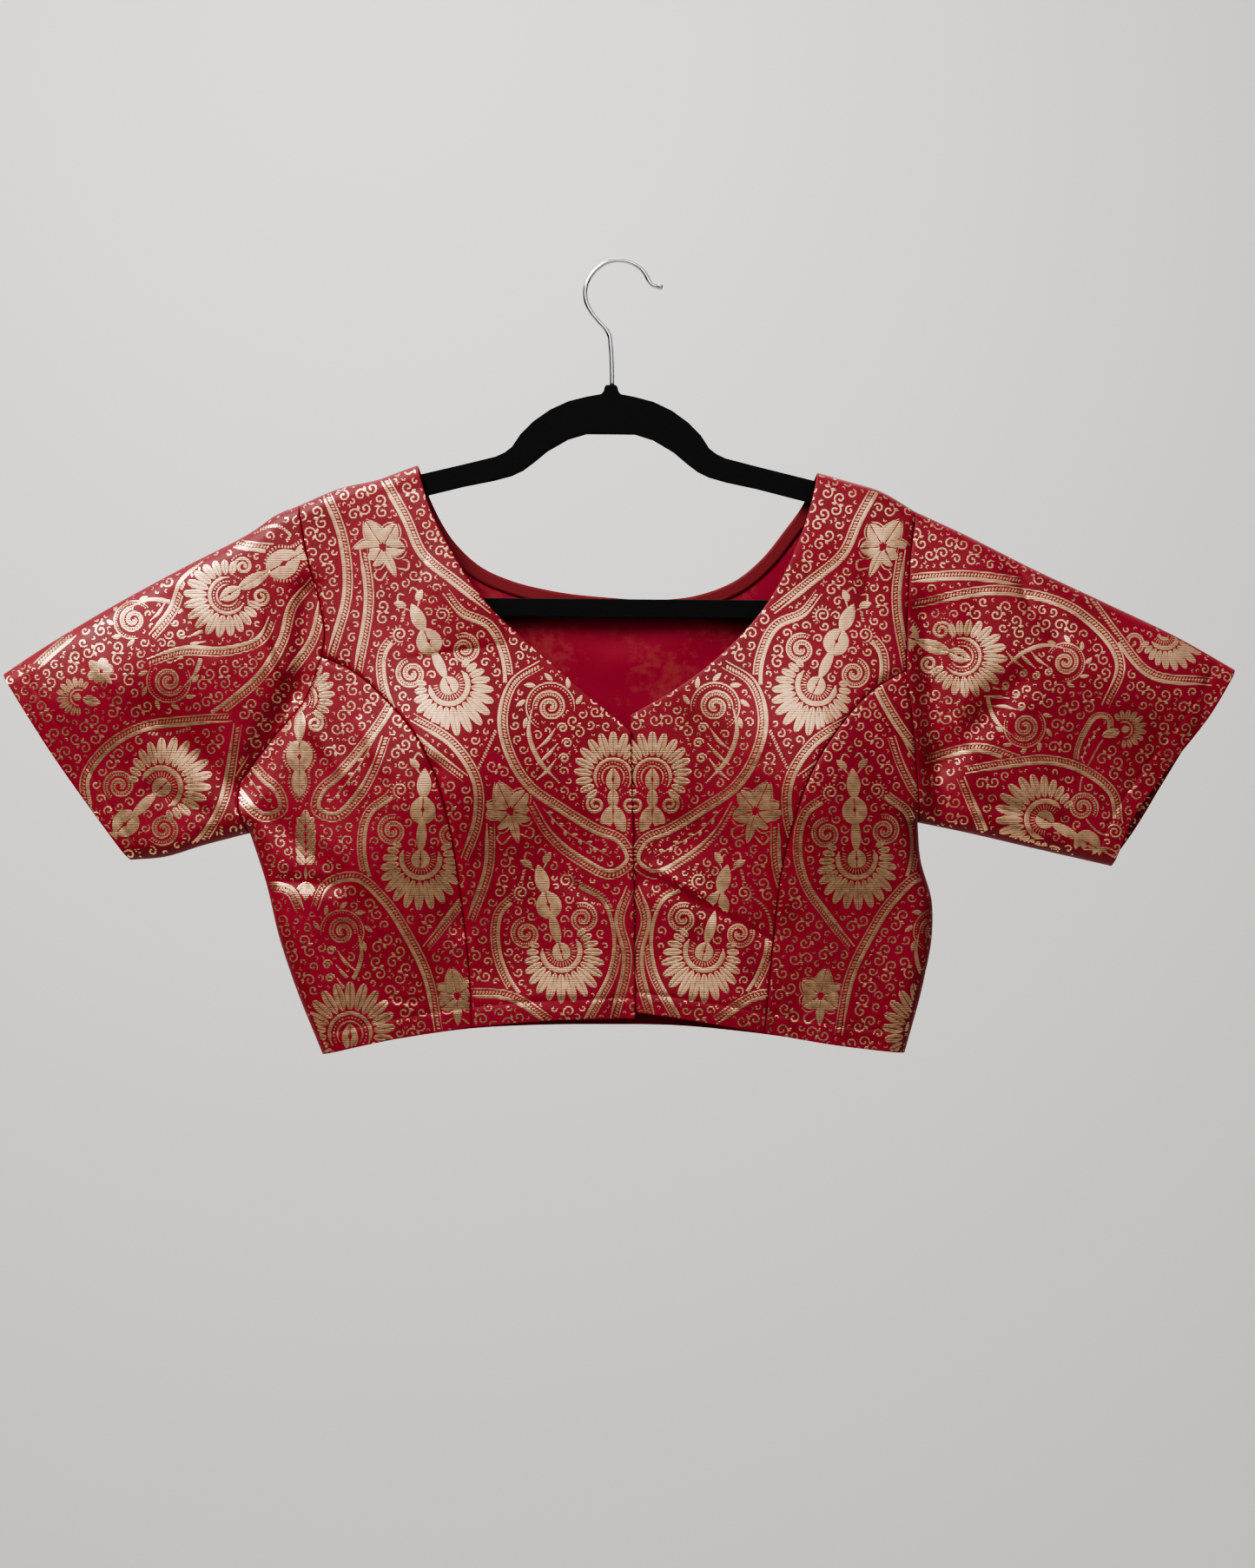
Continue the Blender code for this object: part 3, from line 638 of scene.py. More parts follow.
@dataclass
class Drape:
    """How far the cloth stands out from the middle plane, for both layers."""

    shoulder: float = 7.0 * MM
    front_fill: float = 5.5 * MM
    back_fill: float = 2.5 * MM
    fill_top: float = -120 * MM
    fill_bottom: float = -320 * MM
    cuff_share: float = 0.72
    sleeve_start: float = 190 * MM
    sleeve_reach: float = 200 * MM
    rounding: float = 1.1
    bust: float = 15 * MM
    bust_size: tuple = (40 * MM, 52 * MM)
    bust_points: tuple = ((-118 * MM, -345 * MM), (124 * MM, -341 * MM))
    lap_step: float = 0.9 * MM
    lap_reach: float = 9 * MM
    dart_line: tuple = ((12, -397), (103, -446))
    dart_step: float = 0.9 * MM
    dart_reach: float = 9 * MM
    dart_groove: float = 0.6 * MM
    groove_width: float = 1.5 * MM
    dart_start: float = 0.3
    dart_end: float = 1.05
    closed: list = field(default_factory=lambda: [
        line(edge, side) for side in Side for edge in ("shoulder", "sleeve_top", "sleeve_under", "side")
    ])

    def folded(self, points: np.ndarray, folds: tuple) -> np.ndarray:
        """What is left of the depth at each point once the folds are taken off, as a share."""
        kept = np.ones(points.shape[:-1])
        for x0, z0, x1, z1, width, share in folds:
            away, _ = segment_distance(points, np.array((x0, z0)) * MM, np.array((x1, z1)) * MM)
            kept -= share * np.exp(-((away / (width * MM)) ** 2))
        return kept

    def creased(self, points: np.ndarray, creases: tuple) -> np.ndarray:
        """The height that the fine creases add, which dies out at both ends of each."""
        height = np.zeros(points.shape[:-1])
        for x0, z0, x1, z1, width, rise in creases:
            away, along = segment_distance(points, np.array((x0, z0)) * MM, np.array((x1, z1)) * MM)
            ends = np.sqrt(np.clip(4 * along * (1 - along), 0, 1))
            height += rise * MM * ends * np.exp(-((away / (width * MM)) ** 2))
        return height

    def plain(self, points: np.ndarray, fill: float) -> np.ndarray:
        """The depth of a layer with no folds: shallow at the shoulders and cuffs and fuller below."""
        x, z = points[..., 0], points[..., 1]
        body = self.shoulder + fill * smooth_step((self.fill_top - z) / (self.fill_top - self.fill_bottom))
        return body * (1 - (1 - self.cuff_share) * smooth_step((abs(x) - self.sleeve_start) / self.sleeve_reach))

    def turned(self, points: np.ndarray, depth: np.ndarray) -> np.ndarray:
        """The depth as it rounds off to nothing at the folded edges, as a quarter of an ellipse."""
        away = np.min([line_distance(points, edge.points) for edge in self.closed], axis=0)
        share = np.clip(away / (self.rounding * depth), 0, 1)
        return depth * np.sqrt(1 - (1 - share) ** 2)

    def lap(self, points: np.ndarray) -> np.ndarray:
        """How far the lapping front stands out beside the closure."""
        middle = line("closure_left").points[:, 0].mean()
        return self.lap_step * np.exp(-(((points[..., 0] - middle) / self.lap_reach) ** 2))

    def dart(self, points: np.ndarray) -> np.ndarray:
        """How far the pressed dart of the right front stands out.

        It is a sharp step up that dies away above its line, less a groove along the line. Both grow over the first part
        of the line's length.
        """
        (x0, z0), (x1, z1) = np.array(self.dart_line) * MM
        along = np.array((x1 - x0, z1 - z0))
        length = np.linalg.norm(along)
        away = points - (x0, z0)
        share = (away @ along) / length**2
        above = (away[..., 1] * along[0] - away[..., 0] * along[1]) / length
        step = np.where(above > 0, np.exp(-above / self.dart_reach), 0) * self.dart_step
        groove = self.dart_groove * np.exp(-((above / self.groove_width) ** 2))
        return (step - groove) * smooth_step(share / self.dart_start) * (share < self.dart_end)

    def depth(self, points: np.ndarray, layer: Layer) -> np.ndarray:
        """The signed depth of a layer's outer face.

        Args:
            points: x and z.
            layer: the front or the back one.

        Returns:
            y, below 0 on the front.
        """
        if layer is Layer.FRONT:
            depth = self.plain(points, self.front_fill) * self.folded(points, FRONT_FOLDS)
            for x, z in self.bust_points:
                across, up = (points[..., 0] - x) / self.bust_size[0], (points[..., 1] - z) / self.bust_size[1]
                depth = depth + self.bust * np.exp(-0.5 * (across**2 + up**2))
            depth = depth + self.creased(points, FRONT_CREASES)
        else:
            depth = self.plain(points, self.back_fill) * self.folded(points, BACK_FOLDS)
            depth = depth + self.creased(points, BACK_CREASES)
        return layer.value * self.turned(points, depth)


class Maker:
    """Makes the object of one piece, ties it to its body and hides its solid."""

    def mesh(
        self, name: str, points: np.ndarray, faces: np.ndarray, finishes: tuple[Finish, ...], smooth: bool = True
    ) -> bpy.types.Object:
        """A mesh object with these finishes in its material slots, smooth or flat."""
        data = bpy.data.meshes.new(name)
        data.from_pydata(points.reshape(-1, 3).tolist(), [], faces.tolist())
        if smooth:
            data.shade_smooth()
        for finish in finishes:
            data.materials.append(finish.material())
        made = bpy.data.objects.new(name, data)
        bpy.context.scene.collection.objects.link(made)
        return made

    def mend(self, piece: bpy.types.Object, repair: Callable[[bmesh.types.BMesh], None]) -> None:
        """Change a piece's mesh by a repair, and keep it smooth."""
        shape = bmesh.new()
        shape.from_mesh(piece.data)
        repair(shape)
        shape.to_mesh(piece.data)
        shape.free()
        piece.data.shade_smooth()

    def thicken(self, piece: bpy.types.Object, wall: float, offset: int, inside: int = 0, rim: int = 0) -> None:
        """Give a piece its wall.

        Args:
            piece: the open sheet.
            wall: the wall's thickness.
            offset: -1 for a wall inside the sheet, 0 for half on each side.
            inside: how many slots after a face's own its inside takes its finish from.
            rim: the same for the rim.
        """
        made = piece.modifiers.new("wall", "SOLIDIFY")
        made.thickness, made.offset = wall, offset
        made.material_offset, made.material_offset_rim = inside, rim

    def settle(self, piece: bpy.types.Object, node: str, slot: str) -> bpy.types.Object:
        """Tie a piece to the body, hide the solid that it stands for, and log it."""
        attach(piece, "root")
        if node:
            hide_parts(node)
        LOG.info("%s: %d points", piece.name, len(getattr(piece.data, "vertices", ())))
        return piece


@dataclass
class Cloth:
    """The cloth pieces: open shells with a thin wall, in the drape's shape."""

    maker: Maker
    drape: Drape
    wall: float = 0.55 * MM
    pitch: float = 2.6 * MM
    fine_pitch: float = 1.7 * MM
    seam_gap: float = 0.3 * MM
    seam_sink: float = 0.55 * MM
    seam_width: float = 1.3 * MM
    hem_sink: float = 0.35 * MM
    turn_steps: tuple = tuple(step * MM for step in (0.12, 0.4, 0.9, 1.6, 2.6, 4.0, 5.8, 8.0))
    seam_steps: tuple = (0.7 * MM, 1.5 * MM, 2.6 * MM)
    hem_steps: tuple = tuple(step * MM for step in (0.5, 1.2, 2.2, 5, 8, 11, 12.4, 13.2, 14, 15.4))
    hem_line: tuple = (13.2 * MM, 0.45 * MM, 1.1 * MM)
    hem_line_from: float = 4 * MM
    seam_corner: int = 6
    edge_corner: int = 8
    cuff_turn: float = 24 * MM
    turned_slot: int = 3
    weld: float = 0.01 * MM
    facing_width: float = 9 * MM
    facing_start: float = 5 * MM
    facing_rows: int = 6
    inner_gap: float = 0.5 * MM
    strip: tuple = (-3 * MM, 18 * MM, -316 * MM, -484 * MM)
    strip_cells: tuple = (9, 60)

    def cells(self, length: float, pitch: float = 0.0) -> int:
        """How many even cells a length takes, at this pitch or at the usual one."""
        return max(3, round(length / (pitch or self.pitch)))

    def read(self, name: str, side: Side | None, start: tuple = (), end: tuple = (), pitch: float = 0.0) -> np.ndarray:
        """The points of a seam line, at even cells between the steps at its ends."""
        return line(name, side).evenly(self.cells(line(name, side).length, pitch), start, end)

    def shell(
        self, name: str, grid: np.ndarray, outward: np.ndarray, slot: str, tube: bool = False, turned: int = 0
    ) -> bpy.types.Object:
        """A cloth piece from its grid of outer points, with the wrong side inside and a thin wall.

        Args:
            name: the piece's name, which is its solid's too.
            grid: rows and columns of points.
            outward: the way its faces look, one direction, or none for a tube round the middle plane.
            slot: not used.
            tube: whether the last column meets the first.
            turned: the last rows whose inside shows the right side of a turned hem.

        Returns:
            The object.
        """
        faces = grid_quads(*grid.shape[:2], tube)
        corners = grid.reshape(-1, 3)[faces]
        normals = np.cross(corners[:, 2] - corners[:, 0], corners[:, 3] - corners[:, 1])
        wanted = corners.mean(1) * (0, 1, 0) if tube else outward
        if (normals * wanted).sum() < 0:
            faces = faces[:, ::-1]
        piece = self.maker.mesh(f"{name}_cloth", grid, faces, (Satin(), WrongSide(), Lining(), Satin(), Satin()))
        last_row = len(grid) - 1
        row = np.arange(len(faces)) // (len(faces) // last_row)
        own = np.where(row >= last_row - turned, self.turned_slot, 0)
        piece.data.polygons.foreach_set("material_index", own.astype(np.int32))
        self.maker.mend(piece, lambda shape: bmesh.ops.remove_doubles(shape, verts=shape.verts, dist=self.weld))
        self.maker.thicken(piece, self.wall, -1, 1, 2)
        return self.maker.settle(piece, name, slot)

    def sunk(self, out: np.ndarray, edges: np.ndarray, layer: Layer, depth: float) -> np.ndarray:
        """The grid with its points near some of its edges sunk into a soft groove, as sewing draws them in."""
        away = line_distance(out[..., [0, 2]], edges)
        out[..., 1] -= layer.value * depth * np.exp(-((away / self.seam_width) ** 2))
        return out

    def stitched(self, out: np.ndarray, layer: Layer) -> np.ndarray:
        """The grid with the fine groove of the hem's stitches, which follows its last rows."""
        at, depth, width = self.hem_line
        steps = np.array(self.hem_steps)[::-1]
        sink = depth * np.exp(-(((steps - at) / width) ** 2))[:, None]
        rows = out[-len(steps) - 1 : -1]
        rows[..., 1] -= layer.value * sink * np.clip(abs(rows[..., 1]) / self.hem_line_from, 0, 1)
        return out

    def set_back(self, edge: np.ndarray, inside: np.ndarray) -> np.ndarray:
        """An edge moved half a seam gap towards the inside."""
        square = unit(quarter_turn(np.gradient(edge, axis=0)))
        square *= np.sign(((inside - edge) * square).sum())
        return edge + square * self.seam_gap / 2

    def front_edges(self, side: Side, pitch: float = 0.0) -> tuple[np.ndarray, ...]:
        """The seams of one side of the front: upper armhole, lower armhole, underarm, side, princess and shoulder."""
        upper = self.read("armhole", side, self.turn_steps, (), pitch)
        lower = self.read("lower_armhole", side, self.seam_steps, (), pitch)
        under = self.read("underarm", side, (), self.turn_steps, pitch)
        edge = self.read("side", side, (), self.hem_steps, pitch)
        steps = len(lower) + len(under) + len(edge) - 3 - len(self.seam_steps) - len(self.hem_steps)
        princess = line("princess", side).evenly(steps, self.seam_steps, self.hem_steps)
        shoulder = self.read("shoulder", side, self.seam_steps, self.seam_steps, pitch)
        return upper, lower, under, edge, princess, shoulder

    def centre_front(self, side: Side) -> bpy.types.Object:
        """The piece from the shoulder to the hem beside the closure."""
        upper, _, _, _, princess, shoulder = self.front_edges(side, self.fine_pitch)
        armhole = joined(upper, princess)
        neck, closure = line("neck", side), line("closure", side)
        even = len(armhole) - 1 - len(self.turn_steps) - len(self.hem_steps)
        neck_cells = round(even * neck.length / (neck.length + closure.length))
        free = joined(neck.evenly(neck_cells, self.turn_steps), closure.evenly(even - neck_cells, (), self.hem_steps))
        hem_cells = len(shoulder) - 1 - 2 * len(self.seam_steps)
        hem = line("centre_hem", side).evenly(hem_cells, self.seam_steps, self.seam_steps)
        grid = fill_between(shoulder, hem, armhole, free)
        grid[:, 0] = self.set_back(grid[:, 0], grid[:, 1])
        y = self.drape.depth(grid, Layer.FRONT) + side.sign * self.drape.lap(grid)
        if side is Side.RIGHT:
            y -= self.drape.dart(grid)
        out = self.sunk(stood(grid, y), armhole[self.seam_corner :], Layer.FRONT, self.seam_sink)
        out = self.stitched(self.sunk(out, free[self.edge_corner :], Layer.FRONT, self.hem_sink), Layer.FRONT)
        return self.shell(f"centre_front_{side.value}", out, np.array((0, -1, 0)), "cloth_front")

    def side_front(self, side: Side) -> bpy.types.Object:
        """The piece under the arm, which comes to a point at the armhole."""
        _, lower, under, edge, princess, _ = self.front_edges(side)
        outer = joined(lower, under, edge)
        hem = self.read("side_hem", side, self.turn_steps, self.seam_steps)
        point = np.repeat(outer[:1], len(hem), axis=0)
        grid = fill_between(point, hem, outer, princess)
        seam = len(lower) + len(under) - 1
        inside = self.set_back(grid[:, 0], grid[:, 1])
        grid[:seam, 0] = inside[:seam]
        grid[:, -1] = self.set_back(grid[:, -1], grid[:, -2])
        grid[0] = grid[0, 0] + grid[0, -1] - grid[0, 1]
        out = stood(grid, self.drape.depth(grid, Layer.FRONT))
        for edge in (princess, outer[: seam - self.seam_corner]):
            out = self.sunk(out, edge, Layer.FRONT, self.seam_sink)
        out = self.stitched(out, Layer.FRONT)
        return self.shell(f"side_front_{side.value}", out, np.array((0, -1, 0)), "cloth_side")

    def back(self) -> bpy.types.Object:
        """The back in one piece."""
        left = self.read("shoulder", Side.LEFT, self.seam_steps, self.seam_steps)
        need = len(left) - 1 - 2 * len(self.seam_steps)
        right = line("shoulder", Side.RIGHT).evenly(need, self.seam_steps, self.seam_steps)
        neck = self.read("back_neck", None, self.turn_steps, self.turn_steps)
        top = joined(left, neck, right[::-1])
        hem = line("back_hem").evenly(len(top) - 1 - 2 * len(self.turn_steps), self.turn_steps, self.turn_steps)
        arm_cells, side_cells = (self.cells(line(f"{name}_left").length) for name in ("back_armhole", "side"))
        edges = [
            joined(
                line("back_armhole", side).evenly(arm_cells, self.turn_steps, self.turn_steps),
                line("side", side).evenly(side_cells, (), self.hem_steps),
            )
            for side in Side
        ]
        arm_rows = len(edges[0]) - 1 - side_cells - len(self.hem_steps)
        grid = fill_between(top, hem, *edges)
        for column, inner in ((0, 1), (-1, -2)):
            moved = self.set_back(grid[:, column], grid[:, inner])
            grid[:arm_rows, column] = moved[:arm_rows]
        out = stood(grid, self.drape.depth(grid, Layer.BACK))
        for edge in edges:
            out = self.sunk(out, edge[self.edge_corner : arm_rows - self.edge_corner], Layer.BACK, self.seam_sink)
        out = self.stitched(out, Layer.BACK)
        return self.shell("back", out, np.array((0, 1, 0)), "cloth_back")

    def sleeve(self, side: Side) -> bpy.types.Object:
        """A sleeve as a flattened tube: its front half and its back half."""
        top, bottom = (
            line(name, side).evenly(self.cells(line("sleeve_top_left").length), self.seam_steps, self.hem_steps)
            for name in ("sleeve_top", "sleeve_under")
        )
        halves = []
        for armhole, cuff, layer in (
            (joined(*self.front_edges(side)[:3]), line("cuff", side), Layer.FRONT),
            (self.read("back_armhole", side, self.turn_steps, self.turn_steps), line("back_cuff", side), Layer.BACK),
        ):
            ends = self.turn_steps[-1]
            whole = np.linalg.norm(np.diff(armhole, axis=0), axis=1).sum()
            gone = shares(armhole) * whole
            reach = np.interp(gone, [0, ends, whole - ends, whole], [0, ends, cuff.length - ends, cuff.length])
            grid = fill_between(armhole, cuff.at(reach), top, bottom)
            grid[0] = self.set_back(grid[0], grid[1])
            half = stood(grid, self.drape.depth(grid, layer))
            seam = armhole[self.edge_corner : -self.edge_corner]
            half = self.stitched(self.sunk(half, seam, layer, self.seam_sink), layer)
            half[:, [0, -1], 1] = 0
            halves.append(half)
        loop = np.concatenate([halves[0], halves[1][:, -2:0:-1]], axis=1)
        turned = len(self.hem_steps) + round((self.cuff_turn - self.hem_steps[-1]) / self.pitch)
        return self.shell(f"sleeve_{side.value}", loop, np.zeros(3), "cloth_sleeve", tube=True, turned=turned)

    def inner(self, name: str, grid: np.ndarray, layer: Layer, distance: float, slot: str) -> bpy.types.Object:
        """A plain piece that lies inside a layer: the layer's points moved in, square to the cloth."""
        step = 0.5 * MM
        slopes = [
            (self.drape.depth(grid + off, layer) - self.drape.depth(grid - off, layer)) / (2 * step)
            for off in np.eye(2) * step
        ]
        normal = unit(layer.value * np.stack([-slopes[0], np.ones(grid.shape[:-1]), -slopes[1]], axis=-1))
        out = stood(grid, self.drape.depth(grid, layer)) - distance * normal
        piece = self.maker.mesh(f"{name}_cloth", out, grid_quads(*grid.shape[:2]), (Lining(),))
        self.maker.thicken(piece, self.wall, 0)
        return self.maker.settle(piece, name, slot)

    def facing(self) -> bpy.types.Object:
        """The band inside the back neck."""
        neck = line("back_neck")
        edge = neck.at(np.linspace(self.facing_start, neck.length - self.facing_start, self.cells(neck.length)))
        inwards = -unit(quarter_turn(np.gradient(edge, axis=0)))
        grid = edge[None] + np.linspace(0, self.facing_width, self.facing_rows)[:, None, None] * inwards[None]
        return self.inner("back_neck_facing", grid, Layer.BACK, self.wall + self.inner_gap, "cloth_facing")

    def hook_strip(self) -> bpy.types.Object:
        """The strip under the closure."""
        left, right, top, bottom = self.strip
        across, down = self.strip_cells
        grid = np.stack(np.meshgrid(np.linspace(left, right, across), np.linspace(top, bottom, down)), axis=-1)
        distance = self.drape.lap_step + 2 * self.wall + self.inner_gap
        return self.inner("hook_strip", grid, Layer.FRONT, distance, "cloth_facing")


@dataclass(frozen=True)
class Stroke:
    """One run of gold: its middle line and its half width at each point, in mm."""

    points: np.ndarray
    half: np.ndarray


@dataclass(frozen=True)
class Spot:
    """Where a figure goes: its origin in mm, its turn anticlockwise in degrees, its size and if it is mirrored."""

    x: float
    z: float
    turn: float = 0.0
    size: float = 1.0
    flip: bool = False

    def place(self, strokes: list[Stroke]) -> list[Stroke]:
        """The strokes of a figure, placed."""
        cos, sin = math.cos(math.radians(self.turn)), math.sin(math.radians(self.turn))
        turn = np.array(((cos, sin), (-sin, cos))) * self.size
        turn[0] *= -1 if self.flip else 1
        return [Stroke(s.points @ turn + (self.x, self.z), s.half * self.size**0.5) for s in strokes]


class Pen:
    """Draws the small shapes that the figures are made of, in mm, with v up."""

    step = 1.35
    thinnest = 0.12
    hole_reach = 0.16

    def __init__(self):
        self.strokes: list[Stroke] = []

    def smooth(self, knots: Sequence) -> np.ndarray:
        """A smooth path through the knots, in even steps."""
        path = SeamLine(knots, 8)
        return path.at(np.linspace(0, path.length, max(3, round(path.length / MM / self.step)))) / MM

    def arc(self, centre: tuple, radius: float, first: float, last: float) -> np.ndarray:
        """Part of a circle from one angle to another, in degrees."""
        count = max(4, round(abs(last - first) / DEGREES * radius / self.step))
        turn = np.radians(np.linspace(first, last, count))
        return np.array(centre) + radius * np.stack([np.cos(turn), np.sin(turn)], axis=-1)

    def beside(self, path: np.ndarray, distance: float) -> np.ndarray:
        """The path moved to its left by a distance."""
        return path + distance * quarter_turn(unit(np.gradient(path, axis=0), TINY))

    def draw(self, path: np.ndarray, half: float = 0.55, taper: float = 0.12) -> None:
        """A line that thins towards its ends."""
        t = np.linspace(0, 1, len(path))
        ends = np.clip(np.minimum(t, 1 - t) / taper, 0.35, 1) if taper else np.ones(len(path))
        self.strokes.append(Stroke(np.asarray(path, float), half * ends))

    def leaf(
        self, base: tuple, angle: float, length: float, half: float, rib: float = 0.0, hole: float = 0.0,
        belly: float = 0.85, blunt: float = 0.8,
    ) -> None:
        """A pointed leaf, whole or in two halves beside a rib that may widen to a hole.

        Its half width is half * sin(pi * t^belly)^blunt at the share t of its length.
        """
        t = np.linspace(0, 1, max(5, round(length / self.step) + 1))
        middle = np.array(base) + way(angle) * (t * length)[:, None]
        width = half * np.clip(np.sin(np.pi * t**belly), 0, 1) ** blunt + self.thinnest
        if not rib:
            self.strokes.append(Stroke(middle, width))
            return
        gap = rib / 2 + hole * np.clip(1 - abs(t - 0.5) / self.hole_reach, 0, 1)
        thick = np.clip(width - gap, 0.1, None) / 2
        for sign in (-1, 1):
            aside = quarter_turn(way(angle)) * (sign * (gap + thick))[:, None]
            self.strokes.append(Stroke(middle + aside, thick))

    def ticks(
        self, path: np.ndarray, start: float, length: float, pitch: float = 1.9, lean: float = 0.7, half: float = 0.5
    ) -> None:
        """Short slanted picks beside a path, like the strands of a rope.

        Args:
            path: the path.
            start: how far to its left they begin, or to its right below 0.
            length: how far on they reach the same way.
            pitch: from one to the next.
            lean: how far they lean along the path, as a share of their length.
            half: their half width.
        """
        gone = walked(path)
        at = np.arange(pitch / 2, gone[-1], pitch)
        along = unit(read_path(np.gradient(path, axis=0), gone, at), TINY)
        for spot, ahead, left in zip(read_path(path, gone, at), along, quarter_turn(along)):
            begin = spot + left * start
            end = begin + left * length + ahead * lean * abs(length)
            self.strokes.append(Stroke(np.array((begin, (begin + end) / 2, end)), np.array((0.6, 1.0, 0.5)) * half))

    def beads(self, path: np.ndarray, radius: float = 0.6, pitch: float = 2.1) -> None:
        """A row of dots along a path."""
        gone = walked(path)
        for spot in read_path(path, gone, np.arange(0, gone[-1], pitch)):
            dot = np.array((spot - (radius, 0), spot, spot + (radius, 0)))
            self.strokes.append(Stroke(dot, np.array((0.45, 1, 0.45)) * radius))

    def coil(self, centre: tuple, radius: float, start: float, turns: float, close: float = 0.18) -> np.ndarray:
        """The path of a spiral from its rim inwards."""
        count = max(8, round(abs(turns) * math.tau * radius * 0.6 / self.step))
        t = np.linspace(0, 1, count)
        turn = np.radians(start) + math.tau * turns * t
        reach = radius * (1 - (1 - close) * t)
        return np.array(centre) + reach[:, None] * np.stack([np.cos(turn), np.sin(turn)], axis=-1)

    def spiral(
        self, centre: tuple, radius: float, start: float, turns: float, half: float = 0.8, comb: bool = False
    ) -> None:
        """A spiral with a round bulb at its heart, and a comb of picks outside its first turn if asked."""
        path = self.coil(centre, radius, start, turns)
        self.draw(path, half, 0.06)
        self.strokes[-1].half[-3:] = (half, half * 1.5, half * 0.7)
        if comb:
            first = path[: max(4, int(len(path) * 0.7 / abs(turns)))]
            self.ticks(first, -(half + 0.5) * np.sign(turns), -1.7 * np.sign(turns), 1.9, 0.2, 0.42)

    def rope_spiral(self, centre: tuple, radius: float, start: float, turns: float) -> None:
        """A thin open spiral with slanted picks along its inner side."""
        path = self.coil(centre, radius, start, turns, 0.16)
        self.draw(path, 0.62, 0.06)
        sense = float(np.sign(turns))
        self.ticks(path[:-3], sense * 1.1, sense * 1.8, 2.0, 0.4, 0.52)

    def fan(
        self, centre: tuple, first: float, last: float, count: int, inner: float, outer: tuple, half: float
    ) -> None:
        """Blunt petals round a centre, the middle ones longest, each as wide as its neighbours leave room for.

        Args:
            centre: the centre.
            first: the angle of the first petal in degrees.
            last: the angle of the last one.
            count: how many there are.
            inner: the radius at which they start.
            outer: the radius to which the outermost and the middle ones reach.
            half: their greatest half width.
        """
        spread = math.radians(abs(last - first)) / count
        for i, angle in enumerate(np.linspace(first, last, count)):
            share = math.sin(math.pi * (i + 0.5) / count) ** 1.5
            reach = outer[0] + (outer[1] - outer[0]) * share
            wide = min(half, (inner + 0.62 * (reach - inner)) * spread / 2 - 0.3)
            self.leaf(np.array(centre) + way(angle) * inner, angle, reach - inner, wide, 0.3, 0.0, 1.1, 0.45)

    def rope(self, knots: Sequence, side: int = 1, half: float = 1.25) -> None:
        """A solid gold line with slanted picks beside it and a thin line past them."""
        path = self.smooth(knots)
        self.draw(path, half, 0.16)
        self.ticks(path[1:-1], side * (half + 0.5), side * 2.1, 2.1, 0.6, 0.68)
        self.draw(self.beside(path, side * (half + 3.7)), 0.46, 0.1)

    def vine(self, knots: Sequence, size: float = 4.0) -> None:
        """A thin stem with leaves to its left and right."""
        path = self.smooth(knots)
        self.draw(path, 0.4)
        for i in range(3, len(path) - 2, 4):
            ahead = path[i] - path[i - 1]
            angle = math.degrees(math.atan2(ahead[1], ahead[0])) + (40 if (i // 4) % 2 else -40)
            self.leaf(path[i], angle, size, size * 0.28)


